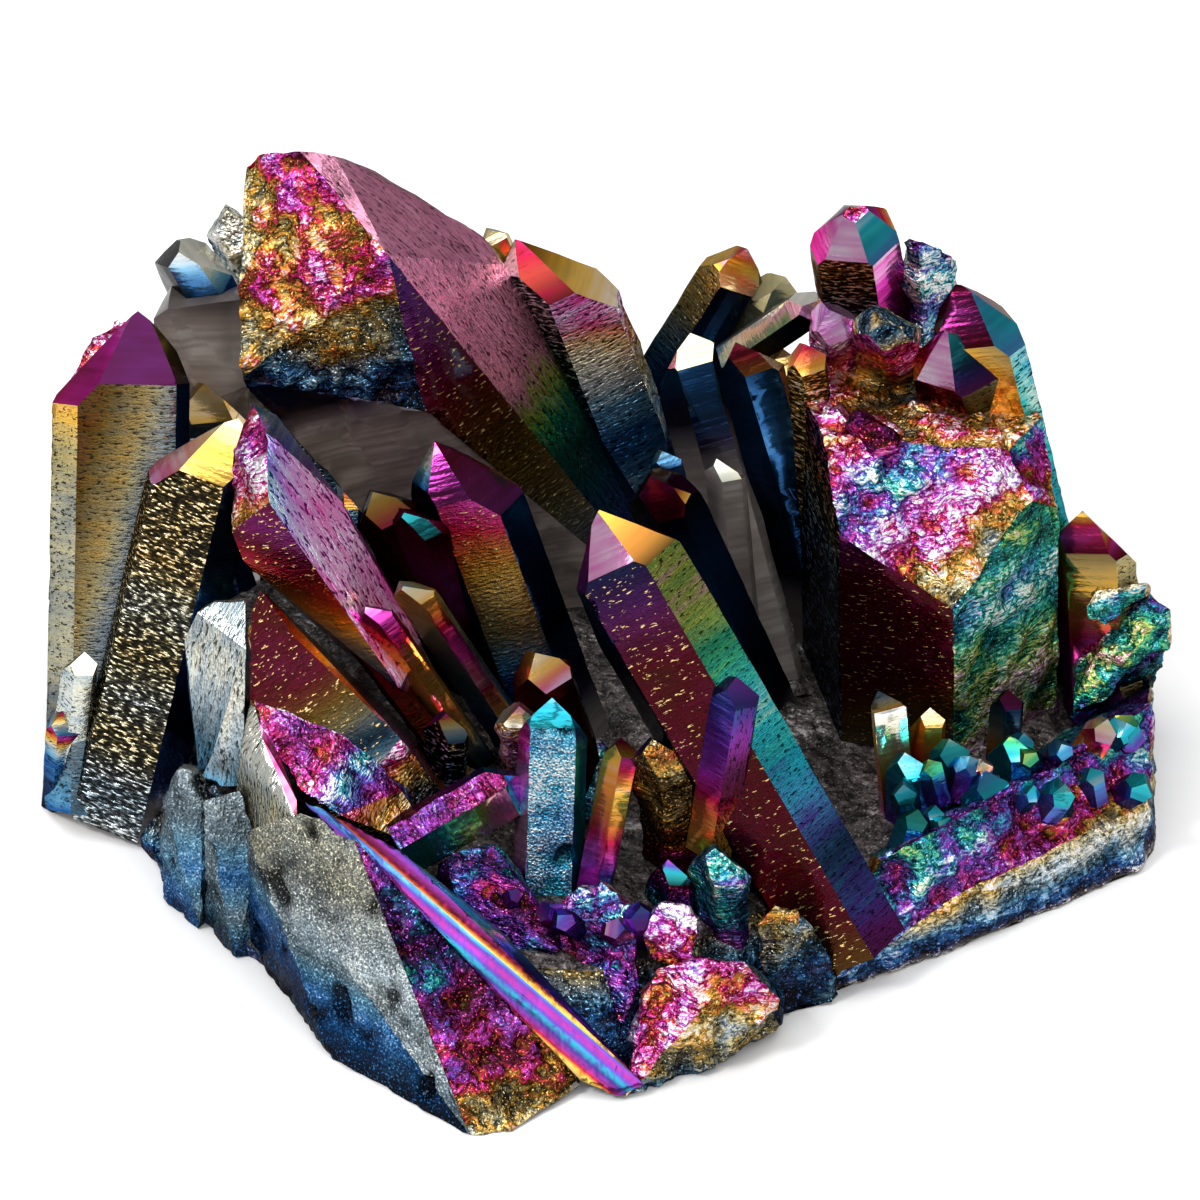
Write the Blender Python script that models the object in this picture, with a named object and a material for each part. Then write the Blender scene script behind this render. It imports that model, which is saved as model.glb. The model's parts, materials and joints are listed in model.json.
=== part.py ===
"""Aura-coated quartz cluster, one grown-together solid cut off flat where it grew on rock.

Blender 4.5, millimetres below turned into metres by MM, +Z up, +Y to the back, +X to the right.
The origin is in the flat cut face that the cluster rests on, under its middle.

Every crystal is a quartz prism: six side faces round an axis that runs from foot to tip, and
six cap faces that close it at the angle all quartz has. Side 0 faces the front (-Y), side 1
the front right, and so on round to side 5 at the front left. Broken or melted-together lumps
are blocks, the hull of a few corner points. All of them are then joined into one body.
"""

import math
import random

import bmesh
import bpy
from mathutils import Vector

MM = 0.001
NODE = "quartz_cluster"

# Driving dimensions, in millimetres
SLAB_HEIGHT = 5.5           # thickness of the foot that the crystals share
SLAB_EDGE = 1               # height of the upright edge round it, before its sides slope in
SLAB_TAPER = 0.84           # size of the slab's top as a share of its rim
DRUSE_WIDTH = 1.5           # width of the small points on the front ledges, before they vary
DRUSE_HEIGHT = 2.6          # how far the tallest of them stand up
DRUSE_STRAY = 0.5           # how far each strays from its row, and how much it leans
DRUSE_SINK = 1.5            # how deep each starts inside its ledge

# Making
BUILD_ROOM = 80             # half the edge of the block that each crystal is cut from
GROUND_DEPTH = 12           # how far below the rest plane the trimming block reaches
NEAR = 0.0005               # corners closer than this are one corner

# Quartz
PRISM_SIDES = 6
CAP_ANGLE = math.radians(51.8)              # between the axis and the normal of a cap face
USUAL_CAPS = (0, 0.6, 0, 0.6, 0, 0.6)       # three large cap faces and three small ones
PLAIN_SIDES = (1, 1.05, 0.9, 1, 1.1, 0.95)  # the sides of a plain crystal, as shares of its width

# Look of the bare solid
COAT_COLOUR = (0.32, 0.16, 0.38, 1.0)
COAT_METALLIC = 0.8
COAT_ROUGHNESS = 0.3


# ---------------------------------------------------------------- clean start
for old in list(bpy.data.objects):
    bpy.data.objects.remove(old, do_unlink=True)

grown = bpy.data.collections.new("grown_pieces")
bpy.context.scene.collection.children.link(grown)


# ---------------------------------------------------------------- how a piece is made
def keep_as_piece(bm, name):
    """Turns a bmesh in millimetres into a hidden piece of the cluster."""
    bmesh.ops.recalc_face_normals(bm, faces=bm.faces)
    bmesh.ops.scale(bm, vec=(MM, MM, MM), verts=bm.verts)
    mesh = bpy.data.meshes.new(name)
    bm.to_mesh(mesh)
    bm.free()
    piece = bpy.data.objects.new(name, mesh)
    piece.hide_render = True
    piece.display_type = "WIRE"
    grown.objects.link(piece)
    return piece


def slice_off(bm, point, outward):
    """Cuts away what lies past a plane, and closes the cut with one face."""
    everything = bm.verts[:] + bm.edges[:] + bm.faces[:]
    bmesh.ops.bisect_plane(bm, geom=everything, dist=NEAR, plane_co=point, plane_no=outward,
                           clear_outer=True)
    bmesh.ops.remove_doubles(bm, verts=bm.verts, dist=NEAR)
    rim = [edge for edge in bm.edges if edge.is_boundary]
    if rim:
        bmesh.ops.holes_fill(bm, edges=rim)


def crystal(name, foot, tip, sides, turn=0, caps=USUAL_CAPS, breaks=()):
    """A quartz prism. sides are the distances of its six faces from the axis, turn is its
    roll in degrees, caps say how far each cap face stands off the tip, and breaks are
    (point, outward direction) planes where it has snapped."""
    foot, tip = Vector(foot), Vector(tip)
    axis = (tip - foot).normalized()
    front = Vector((0, -1, 0))
    front = (front - front.dot(axis) * axis).normalized()
    right = axis.cross(front)
    bm = bmesh.new()
    bmesh.ops.create_cube(bm, size=2 * BUILD_ROOM)
    for side in range(PRISM_SIDES):
        angle = math.radians(turn + side * 360 / PRISM_SIDES)
        out = math.cos(angle) * front + math.sin(angle) * right
        cap_out = math.sin(CAP_ANGLE) * out + math.cos(CAP_ANGLE) * axis
        slice_off(bm, foot + out * sides[side], out)
        slice_off(bm, tip + cap_out * caps[side], cap_out)
    slice_off(bm, foot, -axis)
    for point, outward in breaks:
        slice_off(bm, Vector(point), Vector(outward).normalized())
    return keep_as_piece(bm, name)


def block(name, corners):
    """A lump with flat faces: the hull of its corners."""
    bm = bmesh.new()
    for corner in corners:
        bm.verts.new(corner)
    hull = bmesh.ops.convex_hull(bm, input=bm.verts)
    inside = set(hull["geom_interior"]) | set(hull["geom_unused"])
    bmesh.ops.delete(bm, geom=[v for v in inside if isinstance(v, bmesh.types.BMVert)],
                     context="VERTS")
    return keep_as_piece(bm, name)


def plain_crystal(name, foot, tip, width, turn):
    """A crystal whose six sides are nearly equal."""
    return crystal(name, foot, tip, [width * share for share in PLAIN_SIDES], turn)


def druse_row(name, start, end, count, seed, width=DRUSE_WIDTH, height=DRUSE_HEIGHT,
              lean_back=-0.4):
    """A row of small points that crowd a ledge, each leaning its own way."""
    chance = random.Random(seed)
    start, end = Vector(start), Vector(end)

    def stray():
        return chance.uniform(-DRUSE_STRAY, DRUSE_STRAY)

    for number in range(count):
        foot = start.lerp(end, (number + 0.5) / count)
        foot += Vector((stray(), stray(), -DRUSE_SINK))
        lean = Vector((stray(), lean_back + stray(), 1)).normalized()
        own_width = width * chance.uniform(0.45, 0.75)
        tip = foot + lean * (DRUSE_SINK + height * chance.uniform(0.5, 1.0))
        plain_crystal(f"{name}_{number}", foot, tip, own_width, chance.uniform(0, 60))


# ---------------------------------------------------------------- the pieces, left to right
def left_side():
    """Tall coated prisms at the left edge, with two low points at their feet."""
    crystal("left_tower", foot=(-34.1, -0.8, 0), tip=(-33.2, 17.1, 31), turn=3,
            sides=(3.4, 4.2, 2.6, 4.2, 5.2, 5.3), caps=(-0.3, 0.4, 0.5, 0.8, 0.5, 0.2))
    block("rough_shoulder", [
          (-37.8, 24, 24), (-35.5, 26.4, 25), (-33.9, 25.2, 25), (-38.9, 22.4, 22), (-38.6, 10, 2),
          (-33.8, 10, 2), (-32.7, 19.3, 24), (-35.6, 28.2, 20), (-36.8, 20.5, 0), (-33.5, 17.7, 2),
          (-39, 16.2, 3)])
    crystal("left_column", foot=(-33.4, -2.7, 0), tip=(-25.6, 2.9, 31), turn=-22,
            sides=(2.6, 2.3, 2.4, 3.1, 4.4, 4.8), caps=(-0.2, 0.5, 0.5, 0.8, 0.5, 0.4))
    crystal("low_outer_point", foot=(-38.3, -0.4, 1.5), tip=(-36.7, 0.1, 13.5), turn=10,
            sides=(1.1, 1.1, 0.7, 1, 1.5, 1.2))
    crystal("low_blue_point", foot=(-39.1, 0.4, 0), tip=(-38.2, -0.4, 9), turn=20,
            sides=(1.3, 1.8, 1.6, 1.3, 1.2, 1.5))
    crystal("gold_cap_between", foot=(-31.5, 18, 2), tip=(-28.7, 17.4, 25), turn=20,
            sides=(1.8, 3.3, 3.2, 1.9, 1.2, 2))
    block("smoky_mass", [
          (-31.4, 20.6, 29.4), (-32.5, 20.4, 28.6), (-32.6, 19.5, 19), (-29, 19.5, 17.5),
          (-25.5, 18.8, 21), (-25.4, 18.4, 24), (-25.5, 21, 30.2), (-28.9, 18, 23), (-31.2, 25.5, 28.5),
          (-25.5, 24.5, 29), (-31.2, 23.5, 19), (-26.5, 22.5, 22)])
    crystal("dark_back_point", foot=(-25.8, 35.6, 8), tip=(-30.5, 22.5, 33), turn=0,
            sides=(2.4, 3.2, 2.5, 2.4, 7.6, 1.3))
    crystal("pale_back_point", foot=(-22.9, 35.6, 8), tip=(-27.3, 28.3, 33), turn=10,
            sides=(2, 2.3, 1.2, 1.5, 2.4, 1.4))


def great_crystal():
    """The largest crystal: a thick broken prism that leans up to the left, and those on it."""
    block("great_block", [
          (-25.3, 19.7, 42), (-24, 19.8, 43), (-21.3, 18.7, 44), (-18.8, 19.4, 43), (-15, 14, 38),
          (-14.3, 12.5, 28), (-12.5, 12.1, 26), (-19.3, 11.8, 27), (-25.7, 11.4, 29),
          (-25.9, 14.1, 35), (-25.4, 18.2, 40), (-16.1, 22.3, 40), (-8.5, 24.8, 33),
          (-6.9, 23.9, 31), (-5.1, 24, 24), (-6.9, 17.5, 20), (-8.9, 17.7, 2), (7.5, 17.7, 2),
          (7.6, 28.1, 2), (-3.1, 33.3, 4)])
    crystal("point_on_block", foot=(-4.4, 20.3, 19), tip=(-10, 18.4, 26), turn=20,
            sides=(0.6, 0.8, 0.7, 0.6, 1.1, 0.5))
    crystal("gold_blade", foot=(3, 25.1, 5), tip=(-5.9, 24.8, 32), turn=20,
            sides=(3, 5.4, 4.3, 2.8, 2, 1.5), caps=(0, 0.3, 0.5, 0.8, 0.5, 0.2))
    crystal("yellow_point", foot=(-2.3, 32, 14), tip=(-8.2, 27.3, 32), turn=20,
            sides=(0.8, 1.2, 1, 0.8, 1.1, 0.7))


def centre_back():
    """Slender spires behind the middle, and small prisms that lean to the right."""
    crystal("clear_spire", foot=(13.9, 8.6, 3), tip=(6.5, 19.7, 28), turn=12,
            sides=(1.8, 1.7, 1, 1.8, 3.5, 2.4))
    crystal("two_tone_spire", foot=(17.3, 11.8, 3), tip=(9.7, 15.2, 30), turn=15,
            sides=(1.7, 2.8, 2.2, 1.8, 2.1, 1.1))
    crystal("teal_leaner", foot=(-1.3, 30.4, 5), tip=(10.9, 29.5, 29), turn=10,
            sides=(2.1, 2.3, 1.6, 1.7, 2.3, 2.2))
    crystal("olive_leaner", foot=(3.1, 32, 4), tip=(13.8, 30.7, 25.8), turn=30,
            sides=(2, 2.5, 2.3, 1.8, 2.6, 2.5))
    crystal("white_leaner", foot=(5, 29, 15.5), tip=(16.1, 22.4, 29), turn=10,
            sides=(1.1, 1.4, 1.1, 1.2, 1.5, 1.3))


def right_side():
    """Towers at the right, the broad one snapped off at a slope with posts on its top."""
    crystal("pink_tower", foot=(22.5, 31.8, 5), tip=(17.8, 21.5, 38), turn=-15,
            sides=(2.4, 2.8, 3, 2.6, 2.6, 3.2), caps=(-0.6, -0.5, 0, -0.2, -0.4, -0.4),
            breaks=[((18.1, 22.2, 36.7), (0.1, -0.5, 0.9))])
    crystal("cyan_blade", foot=(25.3, 24.4, 3), tip=(22.6, 23.9, 35), turn=25,
            sides=(1.6, 2.8, 2.3, 1.5, 0.8, 1.2), caps=(0, 0.2, -1, -0.8, -0.3, 0.3))
    crystal("red_tower", foot=(34.2, 11.4, 1), tip=(25.5, 13.6, 36), turn=-12,
            sides=(2.8, 4.1, 2.9, 2.4, 1.7, 2.6), caps=(-0.2, 0.2, 0, 0, 0.2, 0.2))
    crystal("pink_cap", foot=(30.6, 17.1, 6), tip=(24.7, 10.8, 33), turn=25,
            sides=(2.6, 3.1, 1.8, 2.5, 3.1, 2.2), caps=(0, 0.3, 0.5, 0.8, 0.5, 0))
    crystal("broken_tower", foot=(24.5, 5.3, 0), tip=(23.1, 5, 44), turn=-18,
            sides=(7, 6.4, 8.6, 8, 11.1, 7.9), caps=(6, 6, 6, 6, 6, 6),
            breaks=[((24.3, 1.3, 24), (0.1, -0.8, 0.6)),
                    ((24.8, 6.9, 28), (0.1, 0.1, 1)),
                    ((31.1, 4.8, 25), (0.8, -0.3, 0.6))])
    crystal("gold_post", foot=(17, 13.4, 5), tip=(14.5, 10.3, 33), turn=20,
            sides=(1.4, 1.5, 0.9, 1.2, 1.3, 1.5))
    crystal("pink_post", foot=(18.7, 24.4, 10), tip=(16.2, 13.2, 34), turn=20,
            sides=(1.6, 2.3, 1.8, 1.5, 1.4, 1.5))
    crystal("bronze_post", foot=(21.7, 24.4, 10), tip=(19.6, 10.6, 35), turn=20,
            sides=(1.8, 2.9, 2.3, 2, 1.8, 1.2))
    crystal("plum_point", foot=(20, 7.1, 20), tip=(18.1, 4.4, 31), turn=10,
            sides=(1.8, 2.8, 1.8, 1.5, 1.5, 0.6))
    crystal("right_point", foot=(36.2, 5.3, 0), tip=(34.6, 8.4, 20), turn=-10,
            sides=(2, 3.2, 3.3, 2.1, 1.6, 2))
    block("right_spur", [
          (34.8, 4.2, 14.5), (35.1, 3.7, 13.8), (36.2, 3.9, 13.2), (36.4, 4.4, 15.2),
          (35.6, 5, 15.2), (39.3, 5.7, 15.5), (39.3, 5.2, 14.5), (37.7, 5.1, 13.4), (38.5, 10, 11),
          (40.1, 11.3, 11)])
    block("right_ledge", [
          (34.1, 3.7, 9.5), (36.7, 4.8, 12), (39.4, 6.7, 14), (41.1, 5.4, 13.5), (41, 4.3, 11.5),
          (40.2, 3.8, 10), (38.1, 3.4, 9), (33.8, 0.4, 7), (36.1, 11.2, 3), (41.2, 14.4, 7),
          (40.4, 9.9, 3)])


def middle():
    """Crystals that cross the open middle, from the back row down to the front shelf."""
    crystal("long_diagonal", foot=(17.8, -20.1, 2), tip=(0, -9.8, 32), turn=-5,
            sides=(2.6, 3.1, 3.7, 3.9, 10.9, 3.8), caps=(0, 0, 0.3, 0.8, 0.3, 0.5))
    crystal("diagonal_twin", foot=(11.7, 6, 4), tip=(3.5, -0.5, 29), turn=0,
            sides=(2.2, 2.4, 2.5, 2.4, 5, 1.5))
    crystal("blue_tip", foot=(7.8, 10.4, 3), tip=(4.4, 5.6, 27), turn=20,
            sides=(0.9, 1.3, 0.9, 1, 1.1, 0.8))
    crystal("clear_tip", foot=(10.2, 9.3, 3), tip=(8.3, 7.6, 25), turn=10,
            sides=(1.1, 1.9, 1.5, 1.1, 1.1, 0.5))
    crystal("purple_cap", foot=(-4, 1.8, 4), tip=(-11.7, 4.4, 28), turn=-2,
            sides=(2.6, 4.3, 4.4, 3.3, 4.6, 1.9), caps=(0, 0.2, 0.5, 0.8, 0.5, 0))
    crystal("olive_twin", foot=(-9.5, 7, 6), tip=(-16.1, 3.4, 25), turn=20,
            sides=(1.7, 2.5, 1.9, 1.7, 1.9, 1.5))
    crystal("teal_twin", foot=(-9.4, 5.7, 6), tip=(-13.8, 0.9, 25), turn=20,
            sides=(1.6, 2.7, 1.8, 1.5, 1.4, 0.4))
    block("pink_slab", [
          (-24.5, 4.5, 32), (-22.7, 4.1, 31), (-18, -0.9, 27), (-17.1, -2.2, 25.5),
          (-12.6, -4.9, 18), (-11.4, -1, 10), (-23.2, 0.5, 32), (-23, -3.9, 29),
          (-17.9, -7.2, 22.5), (-14, -8.1, 16), (-25.7, 1.1, 30), (-25.8, -1.8, 25),
          (-25, -2.4, 23), (-20.5, -0.5, 18), (-14.4, 1.7, 8), (-19.7, 13.7, 12), (-14.7, 14.3, 8)])
    block("maroon_slab", [
          (-24.2, -8.6, 23), (-23.5, -6.6, 23.5), (-21.3, -9.2, 21.5), (-13.8, -12.5, 15),
          (-10.5, -11.6, 9), (-24.4, -12.1, 18), (-20.7, -12.6, 15.5), (-16.5, -14.3, 12.5),
          (-12.6, -13.8, 8), (-21.7, 6.4, 10), (-11.5, -0.1, 4), (-21.5, -2.8, 6)])
    crystal("maroon_prism", foot=(-10.6, -6.6, 7), tip=(-19.7, -5, 21), turn=0,
            sides=(1.1, 2.1, 1.5, 1.1, 8.8, 0))
    crystal("pink_gold_prism", foot=(-8.9, -4.8, 7), tip=(-16.3, -7.9, 23), turn=20,
            sides=(1, 1.6, 1.1, 1.1, 1.8, 0.4))
    crystal("white_gold_prism", foot=(-4.8, 0.3, 2), tip=(-13.7, -8.2, 25), turn=20,
            sides=(1.2, 1.9, 1.3, 1.2, 2.1, 0.3))
    crystal("dark_cap", foot=(-11.3, -7.6, 6), tip=(-10.8, -8, 14), turn=10,
            sides=(1.4, 1.8, 1, 1.5, 2.2, 0.7))


def middle_front():
    """Short crystals standing on the front shelf."""
    crystal("yellow_cap", foot=(-1.1, -7.6, 6), tip=(-4.5, -10.6, 21), turn=30,
            sides=(1.8, 2.1, 1.4, 1.8, 2.3, 1.6))
    crystal("cyan_column", foot=(-3.8, -17.4, 2), tip=(-3.3, -13.1, 19), turn=0,
            sides=(1.4, 2.2, 2.3, 1.4, 2.1, 2))
    crystal("rose_prism", foot=(-5, -7.6, 6), tip=(-5.6, -11.4, 17), turn=0,
            sides=(1, 1.7, 1.7, 1.1, 1.6, 1.5))
    crystal("mauve_tablet", foot=(-13.9, -17.4, 9), tip=(-4.8, -14, 13), turn=10,
            sides=(1.6, 2, 1.6, 1.7, 2.1, 2.1))
    crystal("teal_chip", foot=(-0.7, -9.9, 6), tip=(0, -7.9, 12), turn=10,
            sides=(1, 1.4, 1, 1.1, 1.3, 0.7))
    crystal("rainbow_strip", foot=(-1, -18.9, 4), tip=(1.5, -13.6, 16), turn=20,
            sides=(1, 1.4, 0.9, 1.1, 1.1, 0.7))
    crystal("bronze_knob", foot=(5.1, -14.3, 4), tip=(3.6, -15.2, 17), turn=10,
            sides=(1.7, 2.7, 2.1, 1.8, 2, 1))
    crystal("violet_blade", foot=(7.4, -17.4, 9), tip=(9.3, -17.6, 24), turn=20,
            sides=(1.4, 1.8, 1.2, 1.4, 1.5, 1))
    crystal("cyan_disc", foot=(8, -20.8, 2), tip=(7.9, -20.9, 12), turn=0,
            sides=(1.6, 2.4, 1.7, 1.7, 2.6, 0.8))
    crystal("small_teal", foot=(4.7, -19.7, 2), tip=(4.7, -19.6, 10), turn=0,
            sides=(1.2, 1.9, 1.3, 1.3, 2, 0.6))


def front_wall():
    """The snapped-off front and left wall: a long bar, rough lumps and fused columns."""
    block("rose_slab", [
          (-24, -12.1, 18), (-20.8, -12.6, 16.5), (-17.7, -12.8, 15.5), (-13.6, -14.4, 12),
          (-11.8, -16.1, 8), (-23.4, -13.5, 16.5), (-20.7, -17.1, 14), (-17.9, -18.7, 13),
          (-13.2, -15.7, 9), (-17.5, -14.6, 6), (-12.8, -5.2, 6)])
    block("striped_bar", [
          (-20.2, -20.6, 15.5), (-19.1, -21, 15.5), (-13.7, -22.6, 13), (-6.8, -25.1, 8),
          (3.1, -33.3, 1), (1.4, -33.8, 0.3), (-1, -33.3, 1), (-17.4, -21.9, 14.5),
          (-18.5, -20.8, 14), (-12.5, -19.2, 6), (0, -29.3, 0)])
    block("front_block", [
          (-18.1, -21.9, 14), (-17.1, -21.9, 14.3), (-1, -33, 0.8), (-2.7, -33.6, 0),
          (-6.2, -37.3, 0), (-8.8, -37.6, 0), (-10.2, -35.2, 2), (-10, -36.6, 0), (-18.5, -29.3, 0),
          (-20.8, -23.9, 0), (-20.8, -22.1, 3), (-24.6, -17.1, 0), (-20.5, -20.3, 14.5),
          (-24.5, -19.1, 12), (-10.4, -22.8, 0)])
    block("left_lump", [
          (-29.6, -11.9, 12), (-27.6, -12.8, 12.5), (-30.6, -12.3, 9.5), (-31.1, -11, 4),
          (-30.8, -12, 0), (-28.2, -15.1, 0), (-27, -12.9, 10), (-27.2, -11.7, 2), (-29.3, -2.8, 6),
          (-26.4, -8.8, -2), (-31.2, -0.4, -3)])
    block("left_rib", [
          (-27.5, -15.6, 12), (-25, -15.1, 12.5), (-23.5, -16.7, 8.5), (-24, -15.9, 3.5),
          (-25.6, -18.3, 0), (-24.5, -17.7, 0), (-27.9, -14.3, 0), (-27.5, -15.7, 9.5),
          (-26.3, -6.2, 5), (-25.1, -7.5, -3)])
    block("steel_column", [
          (-28.1, -6.5, 21.5), (-26.8, -6.3, 22.3), (-24.6, -6.9, 22.8), (-24.5, -10, 20.8),
          (-29, -7, 19.5), (-28.7, -8.6, 15.5), (-25, -11.1, 17.3), (-27.9, -12.8, 10.8),
          (-24.9, -13.2, 11.5), (-27.5, 2.9, 16), (-25.1, 1.6, 9), (-27.6, -1.5, 5), (-29, -1.9, 15)])
    block("brick_prism", [
          (-24.9, -14.3, 15.2), (-23.3, -14.5, 16.5), (-20.8, -18.7, 14.3), (-20.8, -20.5, 13.8),
          (-23.5, -16.8, 9), (-25.3, -13.8, 11.5), (-25, -12, 4), (-21.9, -10.8, 4),
          (-23.5, -3.1, 8), (-24.2, -10.2, 17.5), (-24.9, -3.8, 12)])
    block("violet_block", [
          (-10.6, -20.5, 9.5), (-10.2, -19.7, 10.5), (-7.2, -19.1, 11), (-5.5, -21.4, 9.5),
          (-2.7, -25, 6.2), (-4.1, -24.3, 4.6), (-9, -22.8, 6), (-8.4, -12.1, 5), (-2.8, -16.1, 1),
          (-12, -13, 3)])
    block("violet_lump", [
          (-2.8, -22.4, 8.5), (0, -21.4, 9.5), (2.3, -23.6, 9), (2.7, -28, 5.5), (0, -27.4, 3.5),
          (-2.8, -24.2, 4.5), (-2.8, -15.7, -2), (2.8, -15.7, -2), (0, -29.2, 0.8), (0.7, -29.3, 0),
          (0, -14, 2)])
    block("corner_block", [
          (3.7, -28.7, 7.5), (6.8, -28.3, 8.5), (9.8, -29.1, 8.4), (12.4, -28.4, 4.5),
          (12.5, -27, 1), (9.3, -28.7, 0.6), (4.1, -32.4, 0), (2.7, -31.1, 2.3), (2.7, -29.2, 6),
          (1.7, -33.4, 0), (6.8, -31, 0), (7, -18.3, 0), (12.6, -20.5, 0), (2.8, -21.5, -1)])
    block("pink_lump", [
          (2.9, -26.6, 8.7), (4.1, -25.5, 10.6), (6.1, -25.7, 10.6), (6.7, -27.5, 9.4),
          (6.1, -28.1, 7.4), (3.4, -27.6, 7), (3.5, -18.7, 3), (6.3, -18.7, 3)])
    block("dark_spikes", [
          (10.8, -24.2, 7.7), (12, -23.6, 9), (13.7, -23.7, 8.8), (16.1, -22.7, 3.5),
          (16.1, -22.8, 0), (13.2, -23.3, 0), (11.4, -24.6, 1.2), (12.5, -25, 0), (12, -14.9, 0),
          (15.5, -16, 0)])


def right_shelf():
    """The sloping ledge along the right front, with its crowd of small points."""
    block("right_shelf", [
          (13.9, -23.1, 0), (18.9, -20, 0), (25.3, -17.1, 0), (32.7, -10.8, 0), (38.6, -7.9, 0),
          (39.8, -5.5, 0), (19.5, -18.8, 4.2), (25.2, -16.6, 4.6), (32.5, -10.7, 4.6),
          (39.3, -5.9, 4.5), (19.5, -17.2, 8), (24.4, -14.4, 9.2), (32.5, -8, 9.4),
          (39.4, -0.9, 9.5), (40, 7, 6), (18.5, -8.2, 2), (40.7, 12.8, 0)])
    crystal("gold_tip", foot=(20.6, -7.4, 5), tip=(19.6, -5.3, 14), turn=25,
            sides=(1, 1.9, 2, 1.1, 0.6, 1.3))
    crystal("small_gold_tip", foot=(23.1, -6.2, 5), tip=(23.4, -4.5, 12), turn=5,
            sides=(1, 1.2, 0.8, 1, 1.5, 0.9))
    crystal("small_dark_tip", foot=(28.5, -5.1, 5), tip=(28.9, -3.7, 13), turn=15,
            sides=(1, 1.2, 0.8, 1, 1.2, 0.9))
    crystal("teal_tip_1", foot=(24.5, -7.3, 4), tip=(24.6, -7.7, 11.5), turn=25,
            sides=(1.2, 1.5, 1.1, 1.2, 1.4, 1.2))
    crystal("teal_tip_2", foot=(29.2, -7.3, 4), tip=(28.9, -7.3, 11.5), turn=5,
            sides=(1.2, 1.7, 1, 1.3, 2, 0.7))
    crystal("teal_tip_3", foot=(21.6, -9.5, 3), tip=(21.4, -9.3, 11.5), turn=15,
            sides=(1.2, 1.8, 1.3, 1.3, 1.4, 0.8))
    crystal("teal_tip_4", foot=(27.3, -9.5, 3), tip=(27, -10.1, 10.5), turn=30,
            sides=(1.4, 1.7, 1.1, 1.4, 1.7, 1.3))
    druse_row("shelf_upper", (21, -11, 9), (38.5, -3, 9.5), 10, seed=3)
    druse_row("shelf_lower", (20, -14.5, 7.5), (38, -6, 7.5), 9, seed=5)
    druse_row("front_druse", (-6, -22, 8), (6, -25, 8), 6, seed=8)


def back_side():
    """Plain crystals that fan out at the back."""
    plain_crystal("back_1", foot=(-28, 20, 2), tip=(-33, 30, 19), width=2.6, turn=10)
    plain_crystal("back_2", foot=(-22, 24, 2), tip=(-24, 36, 22), width=3, turn=25)
    plain_crystal("back_3", foot=(-14, 26, 2), tip=(-14, 37, 23), width=3.4, turn=5)
    plain_crystal("back_4", foot=(-5, 28, 2), tip=(-4, 36.5, 18), width=2.8, turn=35)
    plain_crystal("back_5", foot=(3, 29, 1), tip=(4, 36, 12), width=2.6, turn=15)
    plain_crystal("back_6", foot=(10, 30, 1), tip=(12, 36.5, 17), width=2.6, turn=0)
    plain_crystal("back_7", foot=(19, 28, 1), tip=(21, 35, 19), width=3, turn=20)
    plain_crystal("back_8", foot=(26, 22, 1), tip=(28, 30, 14), width=2.6, turn=40)
    plain_crystal("back_9", foot=(33, 14, 0), tip=(35.5, 19, 10), width=2.4, turn=10)
    plain_crystal("back_10", foot=(-34, 18, 0), tip=(-38, 24, 9), width=2.2, turn=20)
    plain_crystal("back_11", foot=(14, 25, 4), tip=(13.5, 26, 22.5), width=3, turn=15)


def back_ledge():
    """Stout points crowded along the back rim, where the slab would show."""
    corners = [(37, 15, 3), (30, 25, 4), (13, 31, 4), (-8, 32.5, 4), (-25, 27, 4), (-36, 17, 3)]
    for number in range(len(corners) - 1):
        druse_row(f"back_ledge_{number}", corners[number], corners[number + 1], count=5,
                  seed=40 + number, width=3.2, height=5.5, lean_back=1.0)


def ground_slab():
    """The shared foot, with an upright edge and sloping sides up to a smaller top."""
    rim = [(-38, 6), (-36.5, 1.8), (-31.5, -6.5), (-30, -11.5), (-25, -17.5), (-20, -23),
           (-16, -26), (-8, -31), (0, -31.5), (5, -29), (11, -25), (22, -17.5), (38.2, -7.9),
           (39.6, -5.5), (38, 12), (30, 26), (12, 33), (-8, 34), (-25, 28), (-36, 18)]
    below = [(x, y, -SLAB_EDGE) for x, y in rim]
    edge = [(x, y, SLAB_EDGE) for x, y in rim]
    top = [(x * SLAB_TAPER, y * SLAB_TAPER, SLAB_HEIGHT) for x, y in rim]
    return block("slab", below + edge + top)


# ---------------------------------------------------------------- joining and cutting
def join_pieces():
    """Joins all pieces to the slab and trims the result flat at the rest plane."""
    cluster = ground_slab()
    cluster.name = NODE
    grown.objects.unlink(cluster)
    bpy.context.scene.collection.objects.link(cluster)
    cluster.hide_render = False
    cluster.display_type = "TEXTURED"

    ground = bmesh.new()
    bmesh.ops.create_cube(ground, size=2 * BUILD_ROOM)
    bmesh.ops.scale(ground, vec=(1, 1, GROUND_DEPTH / (2 * BUILD_ROOM)), verts=ground.verts)
    bmesh.ops.translate(ground, vec=(0, 0, -GROUND_DEPTH / 2), verts=ground.verts)
    trimmer = keep_as_piece(ground, "ground_trimmer")
    grown.objects.unlink(trimmer)
    bpy.context.scene.collection.objects.link(trimmer)

    join = cluster.modifiers.new("join", "BOOLEAN")
    join.operation = "UNION"
    join.operand_type = "COLLECTION"
    join.collection = grown
    trim = cluster.modifiers.new("trim", "BOOLEAN")
    trim.operation = "DIFFERENCE"
    trim.object = trimmer
    return cluster


def coat(cluster):
    """The metal-vapour coating as one plain colour."""
    material = bpy.data.materials.new("aura_coating")
    material.use_nodes = True
    shader = material.node_tree.nodes["Principled BSDF"]
    shader.inputs["Base Color"].default_value = COAT_COLOUR
    shader.inputs["Metallic"].default_value = COAT_METALLIC
    shader.inputs["Roughness"].default_value = COAT_ROUGHNESS
    cluster.data.materials.append(material)


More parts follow.
